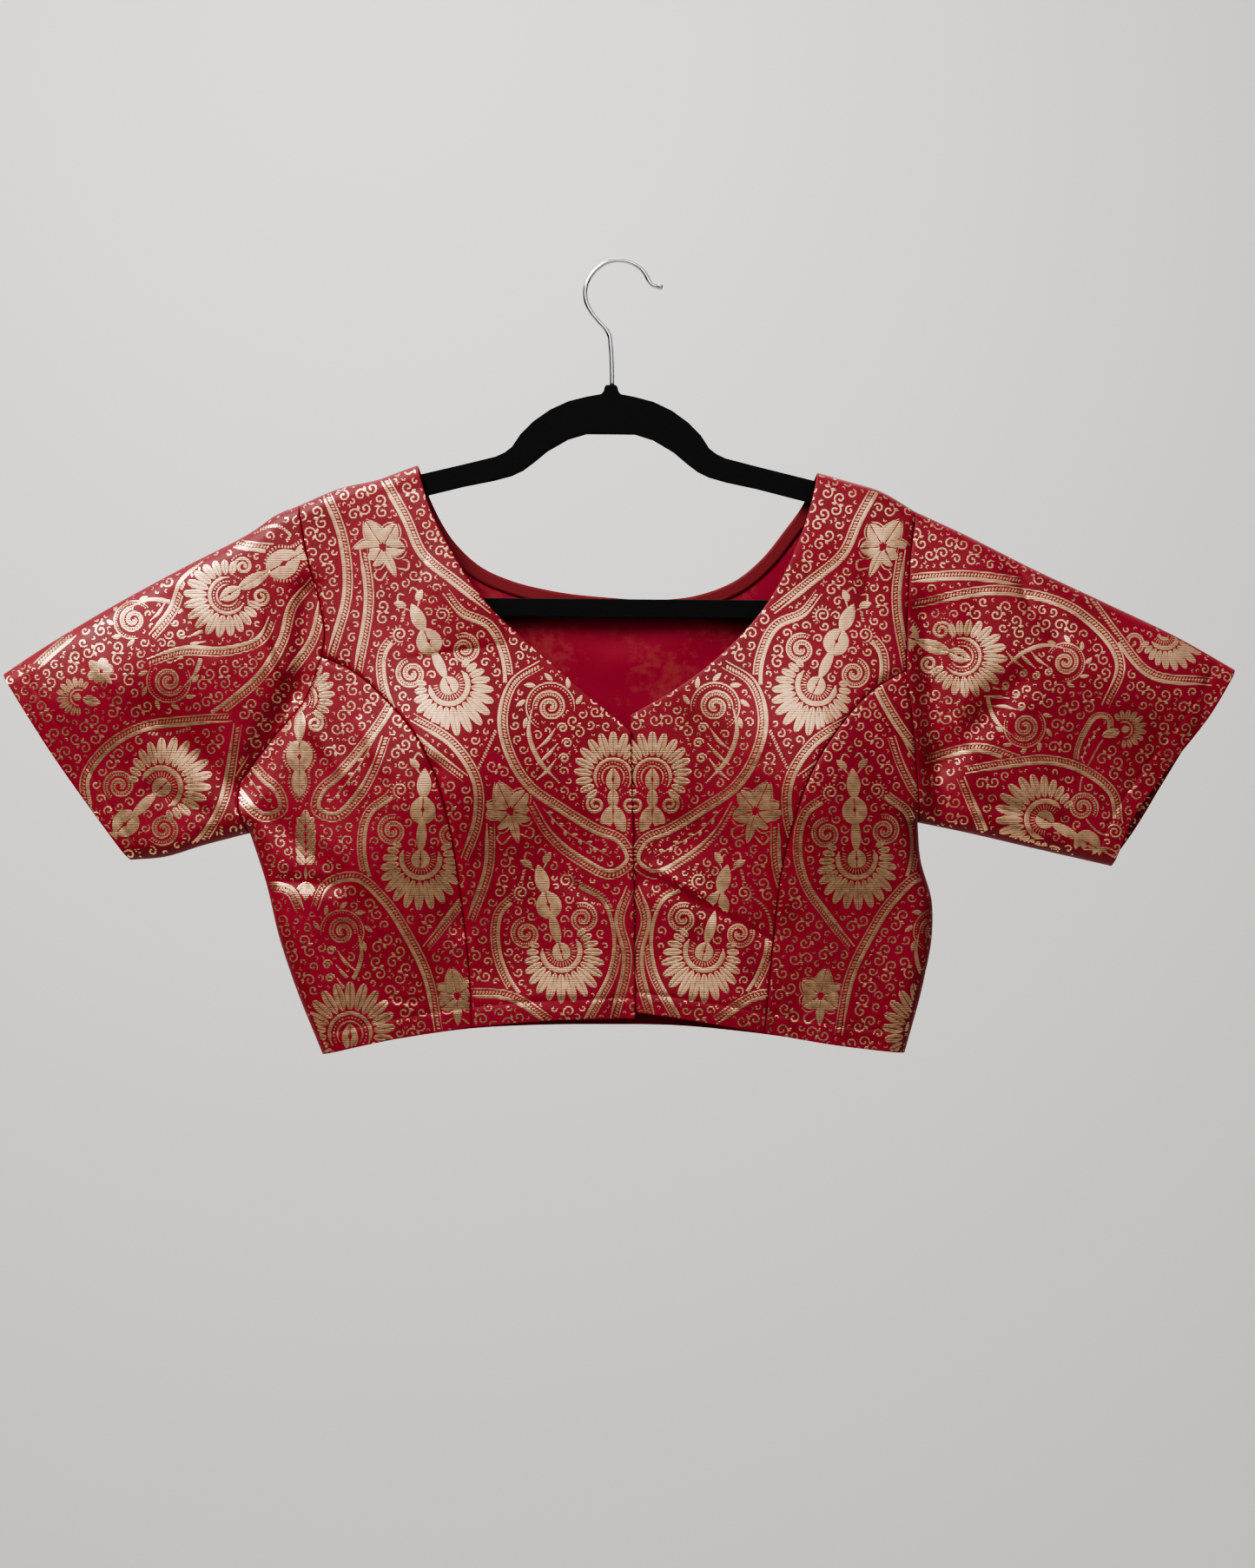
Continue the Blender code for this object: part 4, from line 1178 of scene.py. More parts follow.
class Jaal:
    """The figures of the brocade, each drawn once round its own origin."""

    def __init__(self):
        self.made: dict[str, list[Stroke]] = {}

    def figure(self, name: str) -> list[Stroke]:
        """The strokes of the figure of this name."""
        if name not in self.made:
            pen = Pen()
            getattr(self, name)(pen)
            self.made[name] = pen.strokes
        return self.made[name]

    def crown(self, pen: Pen) -> None:
        """A fan of feathered leaves over bead arches, with a scroll on each side below."""
        pen.leaf((0, -9), 90, 15, 4.6, 0.3, 1.0)
        pen.draw(pen.arc((0, 0), 7.2, -38, 218), 0.5)
        pen.beads(pen.arc((0, 0), 9.3, -35, 215), 0.55, 1.9)
        pen.draw(pen.arc((0, 0), 11.8, -34, 214), 1.1)
        pen.fan((0, 0), -40, 220, 17, 13.5, (22.5, 30), 3.4)
        for sign in (-1, 1):
            pen.spiral((sign * 11.5, -18), 6.2, 90, -sign * 1.7, 1.0)
            pen.beads(pen.arc((sign * 11.5, -18), 8.3, 90 - sign * 110, 90 + sign * 60), 0.5, 1.8)

    def palmette(self, pen: Pen) -> None:
        """The crown over a leaf, a pierced body and a pointed leaf."""
        self.crown(pen)
        pen.leaf((0, -8), -90, 24, 4.2, 0.3)
        pen.leaf((0, -30), -90, 24, 9.5, 0.4, 2.0)
        pen.leaf((0, -50), -90, 22, 5.6, 0.4)
        for sign in (-1, 1):
            rim = pen.smooth(sided(sign, (5, -31), (11, -42), (6, -52), (6.5, -62), (0, -74)))
            pen.ticks(rim, 0, sign * 2.0, 2.0, 0.1, 0.55)

    def crest(self, pen: Pen) -> None:
        """The crown over a short leaf and a pierced body that ends in a point, as beside the closure."""
        self.crown(pen)
        pen.leaf((0, -8), -90, 13, 3.6, 0.3)
        pen.leaf((0, -19), -90, 28, 8.6, 0.3, 2.2, 0.8)
        for sign in (-1, 1):
            rim = pen.smooth(sided(sign, (9.6, -27), (9.2, -33), (5, -42), (0.5, -49)))
            pen.ticks(rim, 0, sign * 1.9, 1.9, 0.1, 0.5)

    def gourd(self, pen: Pen) -> None:
        """A fan hanging from a necked gourd with a pointed leaf, between two bead spirals and two small combed ones."""
        pen.leaf((0, -6.6), 90, 13.2, 6.2, 0.3, 1.1)
        pen.leaf((0, 5), 90, 24, 3.3)
        pen.leaf((0, 24), 90, 19, 8.6, 0.3, 1.9)
        pen.leaf((0, 41), 90, 21, 4.6)
        pen.ticks(pen.arc((0, 0), 7.2, 30, -210), 0, 3.6, 1.5, 0.0, 0.36)
        pen.draw(pen.arc((0, 0), 13.0, 24, -204), 1.7, 0.08)
        pen.fan((0, 0), 28, -208, 17, 15.3, (22, 36), 3.0)
        for sign in (-1, 1):
            pen.rope_spiral((sign * 20, 18), 11.4, 90 + sign * 10, -sign * 1.9)
            pen.spiral((sign * 16, 46), 5.4, 270, sign * 1.6, 0.6, True)
            pen.draw(pen.smooth(sided(sign, (3, 58), (8, 66), (5, 72), (1.5, 69))), 0.6)
            pen.leaf((sign * 4, 62), 90 - sign * 50, 9, 2.4)

    def teardrop(self, pen: Pen) -> None:
        """The roped outline that holds a gourd and meets in a point under its fan."""
        for sign in (-1, 1):
            pen.rope(sided(sign, (12, 62), (20, 45), (36, 32), (41, 8), (35, -18), (20, -40), (1, -64)), sign)

    def loop(self, pen: Pen) -> None:
        """The long tailed loop of a paisley, whose tail crosses under the palmette."""
        pen.rope((
            (48, 74), (66, 62), (74, 38), (69, 12), (56, -9), (35, -24), (12, -38), (-5, -46), (-9, -56), (-1, -63),
            (20, -55), (40, -38), (52, -18),
        ), -1)
        pen.vine(((46, -22), (30, -38), (14, -47), (2, -54)))

    def paired_loop(self, pen: Pen) -> None:
        """The same loop where it meets its mirror image, with its tail held clear of the middle."""
        pen.rope((
            (50, 74), (66, 62), (73, 38), (69, 12), (58, -10), (42, -32), (26, -50), (15, -60), (13, -69), (22, -73),
            (36, -62), (48, -42), (55, -22),
        ), -1)
        pen.vine(((50, -24), (38, -44), (27, -58), (20, -66)))

    def plume(self, pen: Pen) -> None:
        """A great beaded spiral on a long stem, with curled feathers under it."""
        pen.rope_spiral((0, 0), 11.6, -10, 1.9)
        pen.beads(pen.arc((0, 0), 13.8, -55, 185), 0.5, 2.0)
        pen.draw(pen.arc((0, 0), 15.7, -60, 190), 0.5)
        for angle in (-25, 15, 55, 95, 135, 175):
            pen.leaf(16.896 * way(angle), angle - 52, 7.5, 1.5)
        pen.draw(pen.smooth(((12, -2), (14, -16), (8, -34), (-6, -50))), 1.5, 0.3)
        for low, reach in ((-14, 9), (-24, 12), (-34, 10)):
            pen.draw(pen.smooth(((9, low - 14), (2, low - 8), (1 - reach * 0.5, low))), 1.2, 0.4)
            pen.spiral((1 - reach, low), 3.6, 0, 1.4, 0.7)

    def lotus(self, pen: Pen) -> None:
        """Five ribbed petals and a bud."""
        for angle, reach in ((102, 18), (38, 15), (165, 17), (-28, 13), (-142, 13)):
            ahead = way(angle)
            base = 2.2 * ahead
            pen.leaf(base, angle, reach, 5.6, 0.45)
            for sign in (-1, 1):
                rim = [
                    base + along * ahead + sign * out * quarter_turn(ahead)
                    for along, out in ((4, 5.2), (8, 6.9), (12, 5.6), (reach + 1, 1.2))
                ]
                pen.draw(pen.smooth(rim), 0.42)
        pen.leaf((0, -3), -88, 19, 3.0, 0.3)
        for sign in (-1, 1):
            pen.draw(pen.smooth(sided(sign, (3, -16), (10, -20), (12, -15), (9, -13))), 0.6)

    def rosette(self, pen: Pen) -> None:
        """Half a flower of blunt petals."""
        pen.draw(pen.arc((0, 0), 5.2, -20, 200), 0.6)
        pen.fan((0, 0), -15, 195, 11, 6.4, (12, 15), 2.2)
        pen.leaf((0, -2), 90, 6, 2.4)
        pen.leaf((0, -3), -90, 12, 3.2, 0.3)

    def spray(self, pen: Pen) -> None:
        """An upright spray of paired leaves with a tulip below."""
        for v in range(-12, 14, 5):
            for sign in (-1, 1):
                pen.leaf((sign * 0.8, v), 90 - sign * 42, 9.5 - abs(v) * 0.15, 2.6, 0.3)
        pen.leaf((0, 14), 90, 10, 3.0, 0.3)
        pen.leaf((0, -14), -90, 8, 1.0)
        for angle in (-90, -55, -125):
            pen.leaf((0, -24), angle, 12, 2.6, 0.3)
        for sign in (-1, 1):
            pen.spiral((sign * 13, 22), 5.0, 200 if sign > 0 else -20, sign * 1.3, 0.6)
            pen.spiral((sign * 14, -14), 4.6, 90, -sign * 1.4, 0.6)

    def band(self, knots: Sequence) -> list[Stroke]:
        """A roped band through the knots."""
        pen = Pen()
        pen.rope(knots)
        return pen.strokes


# Columns: figure, x_mm, z_mm, turn in degrees, size, mirrored. The last three may be left out, as in Spot
FIGURES = {
    "centre_front_left": (
        ("loop", -4, -337, 0, 1.0, True),
        ("crest", -4, -339),
        ("plume", -45, -293, 0, 1.0, True),
        ("gourd", -38, -453, 15, 0.95),
        ("gourd", -111, -279, 25, 0.95),
        ("teardrop", -40, -453, 8, 0.92),
        ("teardrop", -112, -279, 14, 0.95),
        ("lotus", -71, -361, 12),
        ("lotus", -155, -188, 22),
    ),
    "side_front_left": (
        ("palmette", -209, -288, 0, 0.9),
        ("paired_loop", -209, -290),
        ("paired_loop", -209, -290, 0, 1.0, True),
        ("gourd", -129, -392, -3, 0.95),
        ("teardrop", -129, -392, 0, 0.9),
        ("spray", -205, -384),
        ("palmette", -176, -507, 0, 1.15),
        ("plume", -181, -440, 0, 0.9),
        ("lotus", -106, -482, 0, 0.9),
    ),
    "sleeve_left": (
        ("palmette", -256, -220, 120),
        ("gourd", -300, -346, 135),
        ("teardrop", -300, -346, 132),
        ("plume", -318, -236, 100, 0.8),
        ("plume", -294, -276, 150, 0.9, True),
        ("rosette", -353, -287, 75),
        ("lotus", -338, -270, 40, 0.5),
    ),
    "sleeve_right": (
        ("palmette", 224, -260, -110),
        ("gourd", 279, -367, -119, 0.95),
        ("teardrop", 279, -367, -119, 0.95),
        ("plume", 291, -264, -90, 0.8, True),
        ("plume", 265, -306, -140, 0.85),
        ("rosette", 330, -308, -75),
        ("gourd", 357, -244, 60, 0.8),
        ("loop", 330, -330, -150, 0.55),
    ),
    "back": tuple(
        (name, x, z, 0, 1.0, flip)
        for z in (-300, -500)
        for x in (0, -165, 165)
        for name, flip in (("palmette", False), ("paired_loop", False), ("paired_loop", True))
    ) + tuple(
        (name, x, z) for z in (-200, -400) for x in (-82, 82) for name in ("gourd", "teardrop")
    ) + tuple(
        ("plume", x + sign * 40, z + 44, 0, 0.9, sign < 0)
        for z in (-300, -500)
        for x in (0, -165, 165)
        for sign in (-1, 1)
    ),
}
# Roped bands: the x_mm and z_mm of their knots
BANDS = {
    "centre_front_left": (
        ((-197, -148), (-184, -180), (-180, -215), (-191, -260)),
        ((-170, -190), (-166, -218), (-173, -270)),
        ((-160, -138), (-141, -171), (-131, -193), (-108, -213), (-84, -232)),
        ((-136, -302), (-108, -320), (-94, -344), (-94, -366), (-103, -392)),
        ((-86, -369), (-87, -396), (-99, -432)),
        ((-100, -482), (-72, -484), (-46, -500)),
        ((5, -410), (-2, -432), (3, -455), (-6, -498)),
    ),
    "side_front_left": (
        ((-197, -426), (-190, -411), (-172, -406), (-155, -420), (-140, -443), (-128, -468), (-120, -508)),
        ((-206, -426), (-214, -412), (-234, -408)),
    ),
    "sleeve_left": (
        (
            (-200, -206), (-216, -226), (-222, -248), (-232, -267), (-253, -287), (-278, -303), (-304, -308),
            (-324, -300),
        ),
        ((-197, -224), (-202, -246), (-218, -270)),
        ((-300, -204), (-262, -186), (-240, -190), (-219, -189), (-213, -180), (-222, -172), (-250, -180)),
        ((-273, -197), (-287, -210), (-294, -229), (-307, -246)),
        ((-229, -234), (-235, -247), (-253, -254), (-287, -255), (-308, -262)),
        ((-380, -268), (-370, -258), (-356, -246)),
        ((-247, -322), (-259, -342), (-264, -380)),
    ),
    "sleeve_right": (
        ((190, -211), (226, -209), (264, -213)),
        ((192, -228), (254, -219), (300, -233), (325, -265), (315, -292)),
        ((298, -209), (324, -248), (344, -272), (388, -279)),
        ((200, -330), (236, -322), (262, -330), (320, -340)),
    ),
}
MIRRORED = {"centre_front_right": ("centre_front_left", 17.6), "side_front_right": ("side_front_left", 25.6)}


class Ground:
    """Which cells of a piece's plan the gold covers already.

    Args:
        low: the least x and z, in mm.
        high: the greatest x and z, in mm.
    """

    cell = 0.6
    clearance = 0.55
    margin = 12
    shortest = 3

    def __init__(self, low: np.ndarray, high: np.ndarray):
        self.low = low - self.margin
        self.filled = np.zeros(tuple(((high + self.margin - self.low) / self.cell).astype(int) + 1), bool)
        self.discs: dict[int, np.ndarray] = {}

    def disc(self, radius: float) -> np.ndarray:
        """The cell steps of a disc."""
        reach = max(1, round(radius / self.cell))
        if reach not in self.discs:
            span = np.arange(-reach, reach + 1)
            i, j = np.meshgrid(span, span, indexing="ij")
            inside = i * i + j * j <= reach * reach + 0.5
            self.discs[reach] = np.stack([i[inside], j[inside]], axis=-1)
        return self.discs[reach]

    def cells(self, points: np.ndarray) -> np.ndarray:
        """The cells of points, held inside the plan."""
        found = ((points - self.low) / self.cell).astype(int)
        return np.clip(found, 0, np.array(self.filled.shape) - 1)

    def mark(self, strokes: list[Stroke]) -> None:
        """Fill the cells under the strokes and close beside them."""
        for stroke in strokes:
            self.stamp(stroke.points, float(stroke.half.mean()) + self.clearance)

    def stamp(self, points: np.ndarray, radius: float) -> None:
        """Fill a disc at every point."""
        spread = self.cells(points)[:, None] + self.disc(radius)[None]
        spread = np.clip(spread, 0, np.array(self.filled.shape) - 1).reshape(-1, 2)
        self.filled[spread[:, 0], spread[:, 1]] = True

    def clear(self, strokes: list[Stroke]) -> list[Stroke]:
        """The longest part of each stroke that lies on open ground."""
        kept = []
        for stroke in strokes:
            cells = self.cells(stroke.points)
            free = ~self.filled[cells[:, 0], cells[:, 1]]
            if free.all():
                kept.append(stroke)
                continue
            edges = np.flatnonzero(np.diff(np.concatenate([[0], free.view(np.int8), [0]])))
            runs = edges.reshape(-1, 2)
            if len(runs):
                first, last = runs[np.argmax(runs[:, 1] - runs[:, 0])]
                if last - first >= self.shortest:
                    kept.append(Stroke(stroke.points[first:last], stroke.half[first:last]))
        return kept

    def open_at(self, point: np.ndarray, radius: float) -> bool:
        """Whether a disc of ground is open."""
        cells = self.cells(point)[None] + self.disc(radius)
        if cells.min() < 0 or (cells.max(0) >= self.filled.shape).any():
            return False
        return not self.filled[cells[:, 0], cells[:, 1]].any()


@dataclass
class Weaver:
    """Lays the gold figure on the cloth pieces, and fills what is left of the ground with curls and commas.

    The lift, the crown of a broad stroke's middle and the steepest step of a face are in metres, like the start of the
    rays. The rest is in mm: half widths, the curls' sizes (radius, pitch) and half the distance between paired ones.
    """

    maker: Maker
    cloth: Cloth
    lift: float = 0.10 * MM
    crown: float = 0.10 * MM
    crown_from: float = 0.85
    steepest: float = 1.6 * MM
    ray_start: float = 0.2
    cloth_reach: float = 1.9
    dart_half: float = 0.8
    sizes: tuple = ((4.6, 2.3), (3.9, 1.9), (2.9, 1.6), (1.8, 1.6))
    paired_from: float = 4.0
    pair_step: float = 4.2
    seed: int = 11
    jaal: Jaal = field(default_factory=Jaal)
    pieces: dict = field(default_factory=dict)

    def figures(self, name: str) -> list[list[Stroke]]:
        """The placed figures and bands of one piece, in the order in which they take their ground."""
        source, mirror = MIRRORED.get(name, (name, None))
        groups = [Spot(*where).place(self.jaal.figure(figure)) for figure, *where in FIGURES[source]]
        bands = [self.jaal.band(knots) for knots in BANDS.get(source, ())]
        groups = groups[:3] + bands + groups[3:]
        if mirror is None:
            return groups
        return [[Stroke(s.points * (-1, 1) + (mirror, 0), s.half) for s in group] for group in groups]

    def curls(self, ground: Ground, cover: Ground, low: np.ndarray, high: np.ndarray) -> list[Stroke]:
        """Paired scrolls, curls and commas for the open ground, the largest first.

        Args:
            ground: what the figures cover.
            cover: where there is cloth.
            low: the least x and z.
            high: the greatest x and z.

        Returns:
            Their strokes.
        """
        dice = np.random.default_rng(self.seed)
        out = []
        for radius, pitch in self.sizes:
            x, z = np.meshgrid(np.arange(low[0], high[0], pitch), np.arange(low[1], high[1], pitch))
            spots = np.stack([x, z], axis=-1).reshape(-1, 2)
            spots = dice.permutation(spots + dice.uniform(-0.4, 0.4, spots.shape) * pitch)
            at = cover.cells(spots)
            for spot in spots[cover.filled[at[:, 0], at[:, 1]]]:
                if not ground.open_at(spot, radius):
                    continue
                start, sense = dice.uniform(0, 360), int(dice.choice((-1, 1)))
                if radius > self.paired_from:
                    turns = (start + turn for turn in range(0, 360, 60))
                    step = 2 * self.pair_step
                    start = next((turn for turn in turns if ground.open_at(spot + way(turn) * step, radius)), None)
                    if start is None:
                        continue
                    strokes = self.scroll(spot + way(start) * self.pair_step, start, sense)
                else:
                    strokes = self.curl(spot, radius, start, sense)
                ground.mark(strokes)
                out += strokes
        return out

    def scroll(self, spot: np.ndarray, start: float, sense: int) -> list[Stroke]:
        """Two curls that roll out of one stem, with a bud on each side of it."""
        pen = Pen()
        for turn in (start, start + 180):
            pen.spiral(spot + way(turn) * self.pair_step, self.pair_step, turn + 180, sense * 1.15, 0.5)
            pen.leaf(spot + way(turn + sense * 90) * 0.9, turn + sense * 78, 3.2, 0.8)
        return pen.strokes

    def curl(self, spot: np.ndarray, radius: float, start: float, sense: int) -> list[Stroke]:
        """The curl or comma that fills a disc of this radius."""
        pen = Pen()
        if radius > 2.5:
            pen.spiral(spot, radius - 0.5, start, sense * (1.1 if radius > 3.5 else 0.85), 0.5)
        else:
            pen.draw(pen.arc(tuple(spot), 1.15, start, start + sense * 200), 0.45, 0.4)
        return pen.strokes

    def laid(self, flat: np.ndarray, quads: np.ndarray, shell: bpy.types.Object, layer: Layer) -> np.ndarray:
        """The plan's points carried straight on to the cloth. Those beside the cloth stay where their rays start.

        Args:
            flat: x and z in mm.
            quads: the faces.
            shell: the cloth piece.
            layer: the side from which they are carried.

        Returns:
            The points in metres.
        """
        start = stood(flat * MM, np.full(len(flat), layer.value * self.ray_start))
        sheet = self.maker.mesh("unlaid", start, quads, ())
        press = sheet.modifiers.new("press", "SHRINKWRAP")
        press.wrap_method = "PROJECT"
        press.target = shell
        press.use_project_y = True
        press.use_positive_direction = layer is Layer.FRONT
        press.use_negative_direction = layer is Layer.BACK
        bpy.context.view_layer.update()
        pressed = sheet.evaluated_get(bpy.context.evaluated_depsgraph_get())
        out = np.empty(len(flat) * 3)
        pressed.data.vertices.foreach_get("co", out)
        bpy.data.objects.remove(sheet)
        return out.reshape(-1, 3)

    def drawn(self, name: str, plan: np.ndarray) -> list[Stroke]:
        """What is woven on one piece, from the points of its plan: figures and bands, and curls between them."""
        low, high = plan.min(0), plan.max(0)
        ground, cover = Ground(low, high), Ground(low, high)
        if name == "centre_front_right":
            first, last = np.array(self.cloth.drape.dart_line)
            ground.stamp(first + np.linspace(0, 1, 200)[:, None] * (last - first), self.dart_half)
        strokes: list[Stroke] = []
        for group in self.figures(name):
            kept = ground.clear([s for s in group if (s.points.max(0) > low).all() and (s.points.min(0) < high).all()])
            ground.mark(kept)
            strokes += kept
        cover.stamp(plan, self.cloth_reach)
        return strokes + self.curls(ground, cover, low, high)

    def ribbons(self, strokes: list[Stroke]) -> tuple[np.ndarray, np.ndarray, np.ndarray]:
        """The strokes as strips of quads, whose rows of points stand square to the stroke at its half width.

        Args:
            strokes: the strokes.

        Returns:
            The points in the plan, how far each is lifted off the cloth, and the quads.
        """
        points, lifts, faces, count = [], [], [], 0
        for stroke in strokes:
            side = quarter_turn(unit(np.gradient(stroke.points, axis=0), TINY)) * stroke.half[:, None]
            rows = (-1, 0, 1) if stroke.half.max() > self.crown_from else (-1, 1)
            across = np.stack([stroke.points + side * row for row in rows], axis=1)
            faces.append(count + flipped(grid_quads(*across.shape[:2])))
            points.append(across.reshape(-1, 2))
            lifts.append(np.tile([self.lift + (0 if row else self.crown) for row in rows], len(across)))
            count += len(points[-1])
        return np.concatenate(points), np.concatenate(lifts), np.concatenate(faces)

    def weave(self, name: str, slot: str, layer: Layer, suffix: str = "") -> bpy.types.Object:
        """Lay one piece's gold on one layer of it.

        Args:
            name: the cloth piece.
            slot: not used.
            layer: which side the rays come from.
            suffix: told apart where a piece has two layers.

        Returns:
            The gold's object.
        """
        shell = bpy.data.objects[f"{name}_cloth"]
        plan = np.empty(len(shell.data.vertices) * 3)
        shell.data.vertices.foreach_get("co", plan)
        strokes = self.drawn(name, plan.reshape(-1, 3)[:, [0, 2]] / MM)
        flat, lift, quads = self.ribbons(strokes)
        if layer is Layer.BACK:
            quads = quads[:, ::-1]
        solid = self.laid(flat, quads, shell, layer)
        height = solid[:, 1][quads]
        quads = quads[(abs(height) < self.ray_start / 2).all(1) & (np.ptp(height, axis=1) < self.steepest)]
        solid[:, 1] += layer.value * lift
        used = np.unique(quads)
        renumber = np.zeros(len(flat), int)
        renumber[used] = np.arange(len(used))
        piece = self.maker.mesh(f"{name}_gold{suffix}", solid[used], renumber[quads], (Zari(),))
        LOG.info("%s: %d strokes, %d faces", piece.name, len(strokes), len(quads))
        self.pieces.setdefault(name, []).append(piece)
        return self.maker.settle(piece, "", slot)


@dataclass
class Hanger:
    """The velvet body and the bright hook, which keep their solids' own shapes."""

    maker: Maker
    frame: dict
    wire_radius: float = 1.6 * MM
    wire_pitch: float = 1.2 * MM
    tip_swell: float = 1.35
    tip_length: float = 3.2 * MM
    tip_round: float = 0.72
    wire_sides: int = 20
    hook_line: tuple = (
        (28.7, -16.0), (25.1, -15.5), (22.1, -14.6), (19.6, -11.9), (17.6, -8.0), (14.3, -3.8), (9.2, -0.4),
        (2.6, 1.5), (-2.7, 1.6), (-8.6, 0.3), (-13.9, -3.1), (-18.1, -7.4), (-21.4, -13.2), (-22.6, -19.8),
        (-21.7, -25.8), (-18.4, -32.4), (-13.2, -38.8), (-8.5, -44.2), (-6.5, -48.2), (-5.9, -53.0),
        (-5.0, -67.0), (-4.8, -80.4),
    )

    def body(self) -> bpy.types.Object:
        """The velvet body: the solid itself, repainted."""
        node = self.frame["nodes"]["hanger_body"]
        node.data.materials.clear()
        node.data.materials.append(Velvet().material())
        LOG.info("%s: the solid, repainted", node.name)
        return node

    def hook(self) -> bpy.types.Object:
        """The wire, as rings of points round its centre line, with rounded ends."""
        path = SeamLine(self.hook_line)
        count = round(path.length / self.wire_pitch)
        centre = path.at(np.linspace(0, path.length, count + 1))
        across = stood(-quarter_turn(unit(np.gradient(centre, axis=0))), np.zeros(count + 1))
        distance = np.linspace(0, path.length, count + 1)
        radius = self.wire_radius * (1 + (self.tip_swell - 1) * np.exp(-((distance / self.tip_length) ** 4)))
        radius[0] *= self.tip_round
        turn = np.linspace(0, 2 * np.pi, self.wire_sides, endpoint=False)[None, :, None]
        ring = np.cos(turn) * across[:, None] + np.sin(turn) * np.array((0.0, 1.0, 0.0))
        points = stood(centre, np.zeros(count + 1))[:, None] + radius[:, None, None] * ring
        faces = flipped(grid_quads(*points.shape[:2], True))
        piece = self.maker.mesh("hanger_hook_wire", points, faces, (Chrome(),))
        self.maker.mend(piece, self.close_ends)
        return self.maker.settle(piece, "hanger_hook", "chrome")

    def close_ends(self, shape: bmesh.types.BMesh) -> None:
        """Fill the two open ends and turn every face outwards."""
        bmesh.ops.holes_fill(shape, edges=shape.edges)
        bmesh.ops.recalc_face_normals(shape, faces=shape.faces)


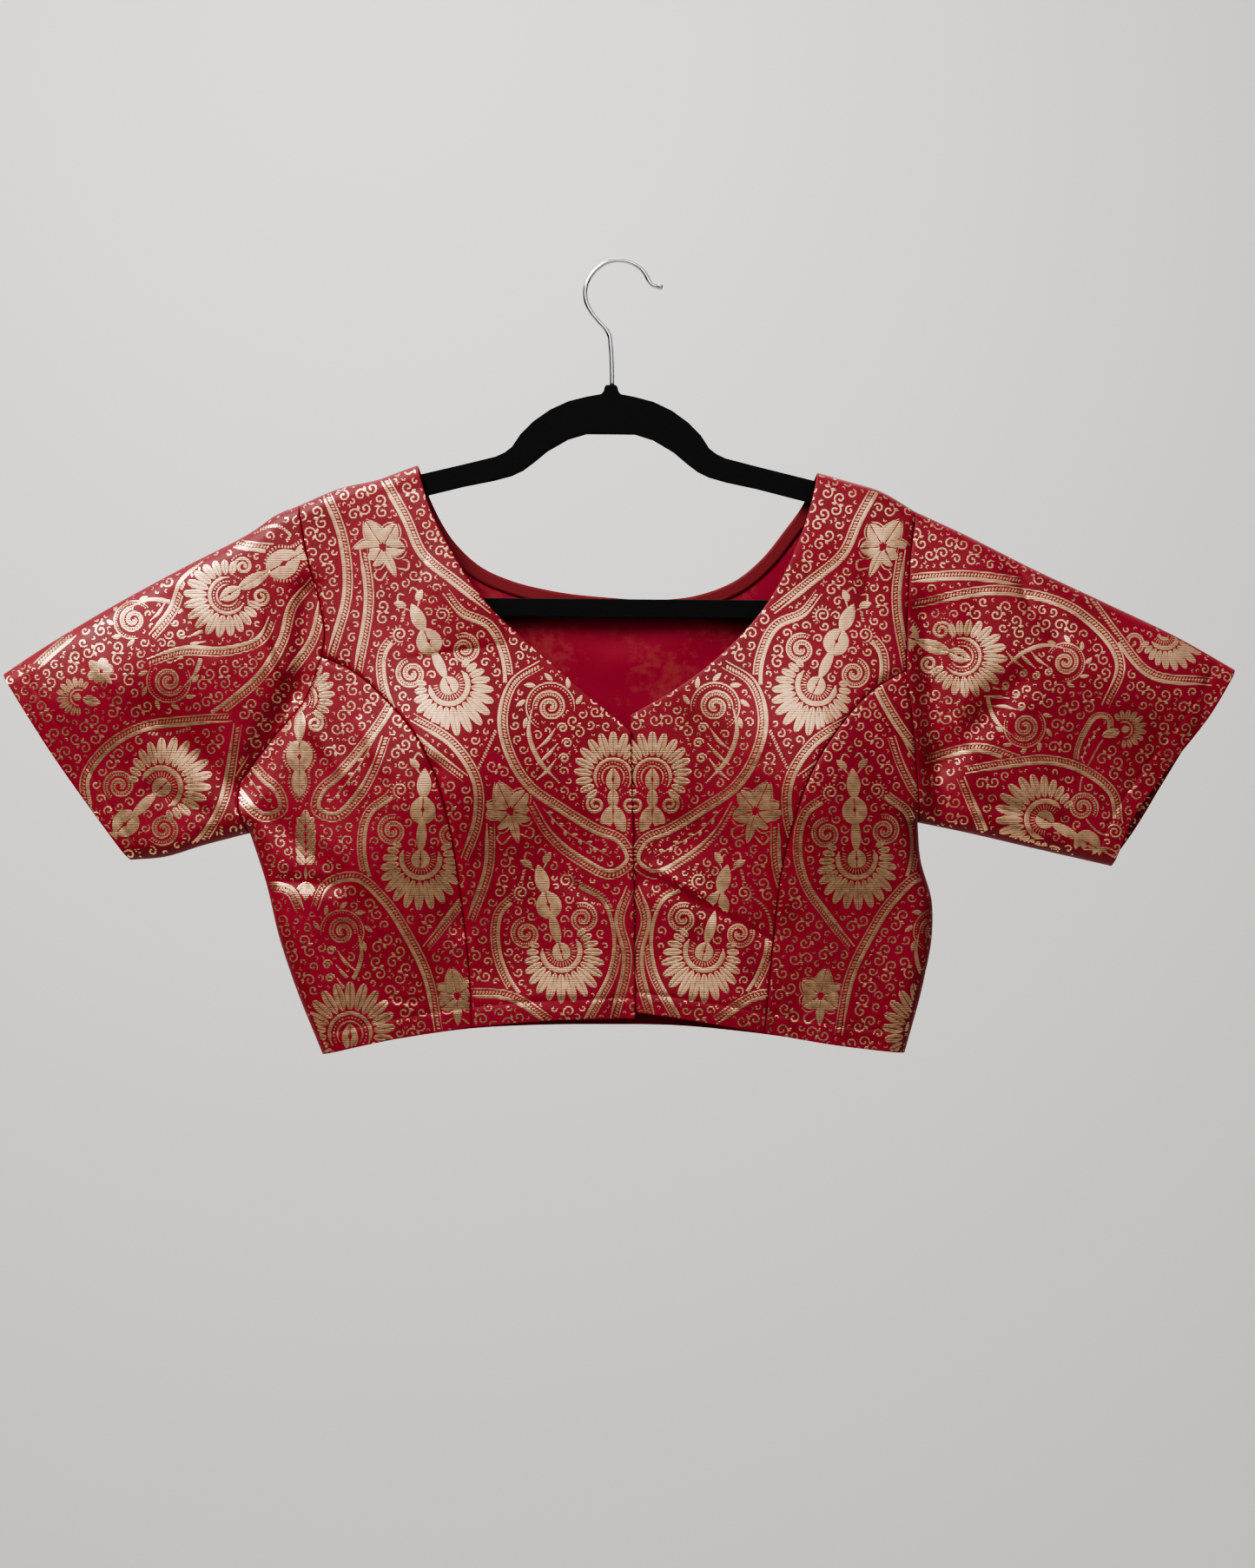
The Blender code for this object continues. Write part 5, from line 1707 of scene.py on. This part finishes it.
@dataclass
class Room:
    """The plain backdrop, the soft light and the camera.

    The sky gets brighter with the height of the direction, from the first of its four figures to the second, and its
    strength goes from the third to the fourth. Each lamp has its place, size, power and colour, and may have an aim.
    """

    maker: Maker
    distance: float = 1.62
    lens_half_width: float = 0.4135
    centre: tuple = (5.4 * MM, -343.5 * MM)
    backdrop: float = 3.2
    top: float = 6.0
    floor: float = -4.0
    bend_radius: float = 1.5
    near_edge: float = -8.0
    half_width: float = 12.0
    sky: tuple = (0.0, 0.6, 0.02, 0.5)
    sky_colour: tuple = (0.93, 0.95, 1.0, 1)
    lamps: tuple = (
        ("window", (-1.15, -1.4, 1.35), 1.2, 95, (1.0, 0.985, 0.96)),
        ("fill", (1.7, -2.2, 0.3), 2.0, 3, (0.95, 0.97, 1.0)),
        ("front", (0.1, -1.9, 0.42), 0.7, 6, (1.0, 0.98, 0.95)),
        ("wall", (-0.6, 0.9, 1.6), 1.5, 70, (1, 1, 1), (-0.2, 3.2, -0.4)),
        ("behind", (0.5, 1.2, 1.4), 1.2, 14, (1, 1, 1)),
    )

    def backdrop_piece(self) -> bpy.types.Object:
        """A wide sheet that curves forward far below and stands far behind."""
        turn = np.linspace(0, np.pi / 2, 12)[:, None]
        middle = np.array((self.backdrop - self.bend_radius, self.floor + self.bend_radius))
        bend = middle + self.bend_radius * np.concatenate([np.cos(turn), -np.sin(turn)], axis=1)
        profile = np.concatenate([[(self.backdrop, self.top)], bend, [(self.near_edge, self.floor)]])
        points = np.array([[(x, y, z) for x in (-self.half_width, self.half_width)] for y, z in profile])
        made = self.maker.mesh("backdrop", points, grid_quads(*points.shape[:2]), (Plain(),), smooth=False)
        return made

    def lamp(
        self, name: str, place: tuple, size: float, power: float, colour: tuple, aim: tuple | None = None
    ) -> None:
        """A square soft lamp that looks at the middle of the blouse, or at another place."""
        data = bpy.data.lights.new(name, "AREA")
        data.size = size
        data.energy = power
        data.color = colour
        made = bpy.data.objects.new(name, data)
        made.location = place
        direction = Vector(aim or (self.centre[0], 0, self.centre[1])) - made.location
        made.rotation_euler = direction.to_track_quat("-Z", "Y").to_euler()
        bpy.context.scene.collection.objects.link(made)

    def build(self) -> None:
        """Set the world, the lamps, the backdrop and the camera."""
        scene = bpy.context.scene
        world = bpy.data.worlds.new("soft room")
        world.use_nodes = True
        sky = world.node_tree.nodes["Background"]
        direction = Shade(world.node_tree, 0.0).node("ShaderNodeTexCoord", {}, "Generated")
        height = direction.node("ShaderNodeSeparateXYZ", {0: direction}, "Z")
        sky.inputs["Color"].default_value = self.sky_colour
        plug(world.node_tree, sky.inputs["Strength"], height.ranged(*self.sky))
        scene.world = world
        self.backdrop_piece()
        for lamp in self.lamps:
            self.lamp(*lamp)
        camera = bpy.data.cameras.new("camera")
        camera.sensor_fit = "HORIZONTAL"
        camera.lens = camera.sensor_width * self.distance / (2 * self.lens_half_width)
        made = bpy.data.objects.new("camera", camera)
        made.location = (self.centre[0], -self.distance, self.centre[1])
        made.rotation_euler = (math.pi / 2, 0, 0)
        scene.collection.objects.link(made)
        scene.camera = made
        scene.view_settings.view_transform = "AgX"
        scene.view_settings.look = "AgX - Medium High Contrast"


def main() -> None:
    """Build every piece in order."""
    logging.basicConfig(level=logging.INFO, format="%(name)s: %(message)s", stream=sys.stdout)
    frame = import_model()
    maker = Maker()
    drape = Drape()
    cloth = Cloth(maker, drape)
    for side in Side:
        cloth.centre_front(side)
        cloth.side_front(side)
        cloth.sleeve(side)
    cloth.back()
    cloth.facing()
    cloth.hook_strip()
    weaver = Weaver(maker, cloth)
    for side in Side:
        weaver.weave(f"centre_front_{side.value}", "cloth_front", Layer.FRONT)
        weaver.weave(f"side_front_{side.value}", "cloth_side", Layer.FRONT)
        weaver.weave(f"sleeve_{side.value}", "cloth_sleeve", Layer.FRONT)
        weaver.weave(f"sleeve_{side.value}", "cloth_sleeve", Layer.BACK, "_behind")
    weaver.weave("back", "cloth_back", Layer.BACK)
    hanger = Hanger(maker, frame)
    hanger.body()
    hanger.hook()
    Room(maker).build()


if __name__ == "__main__":
    main()
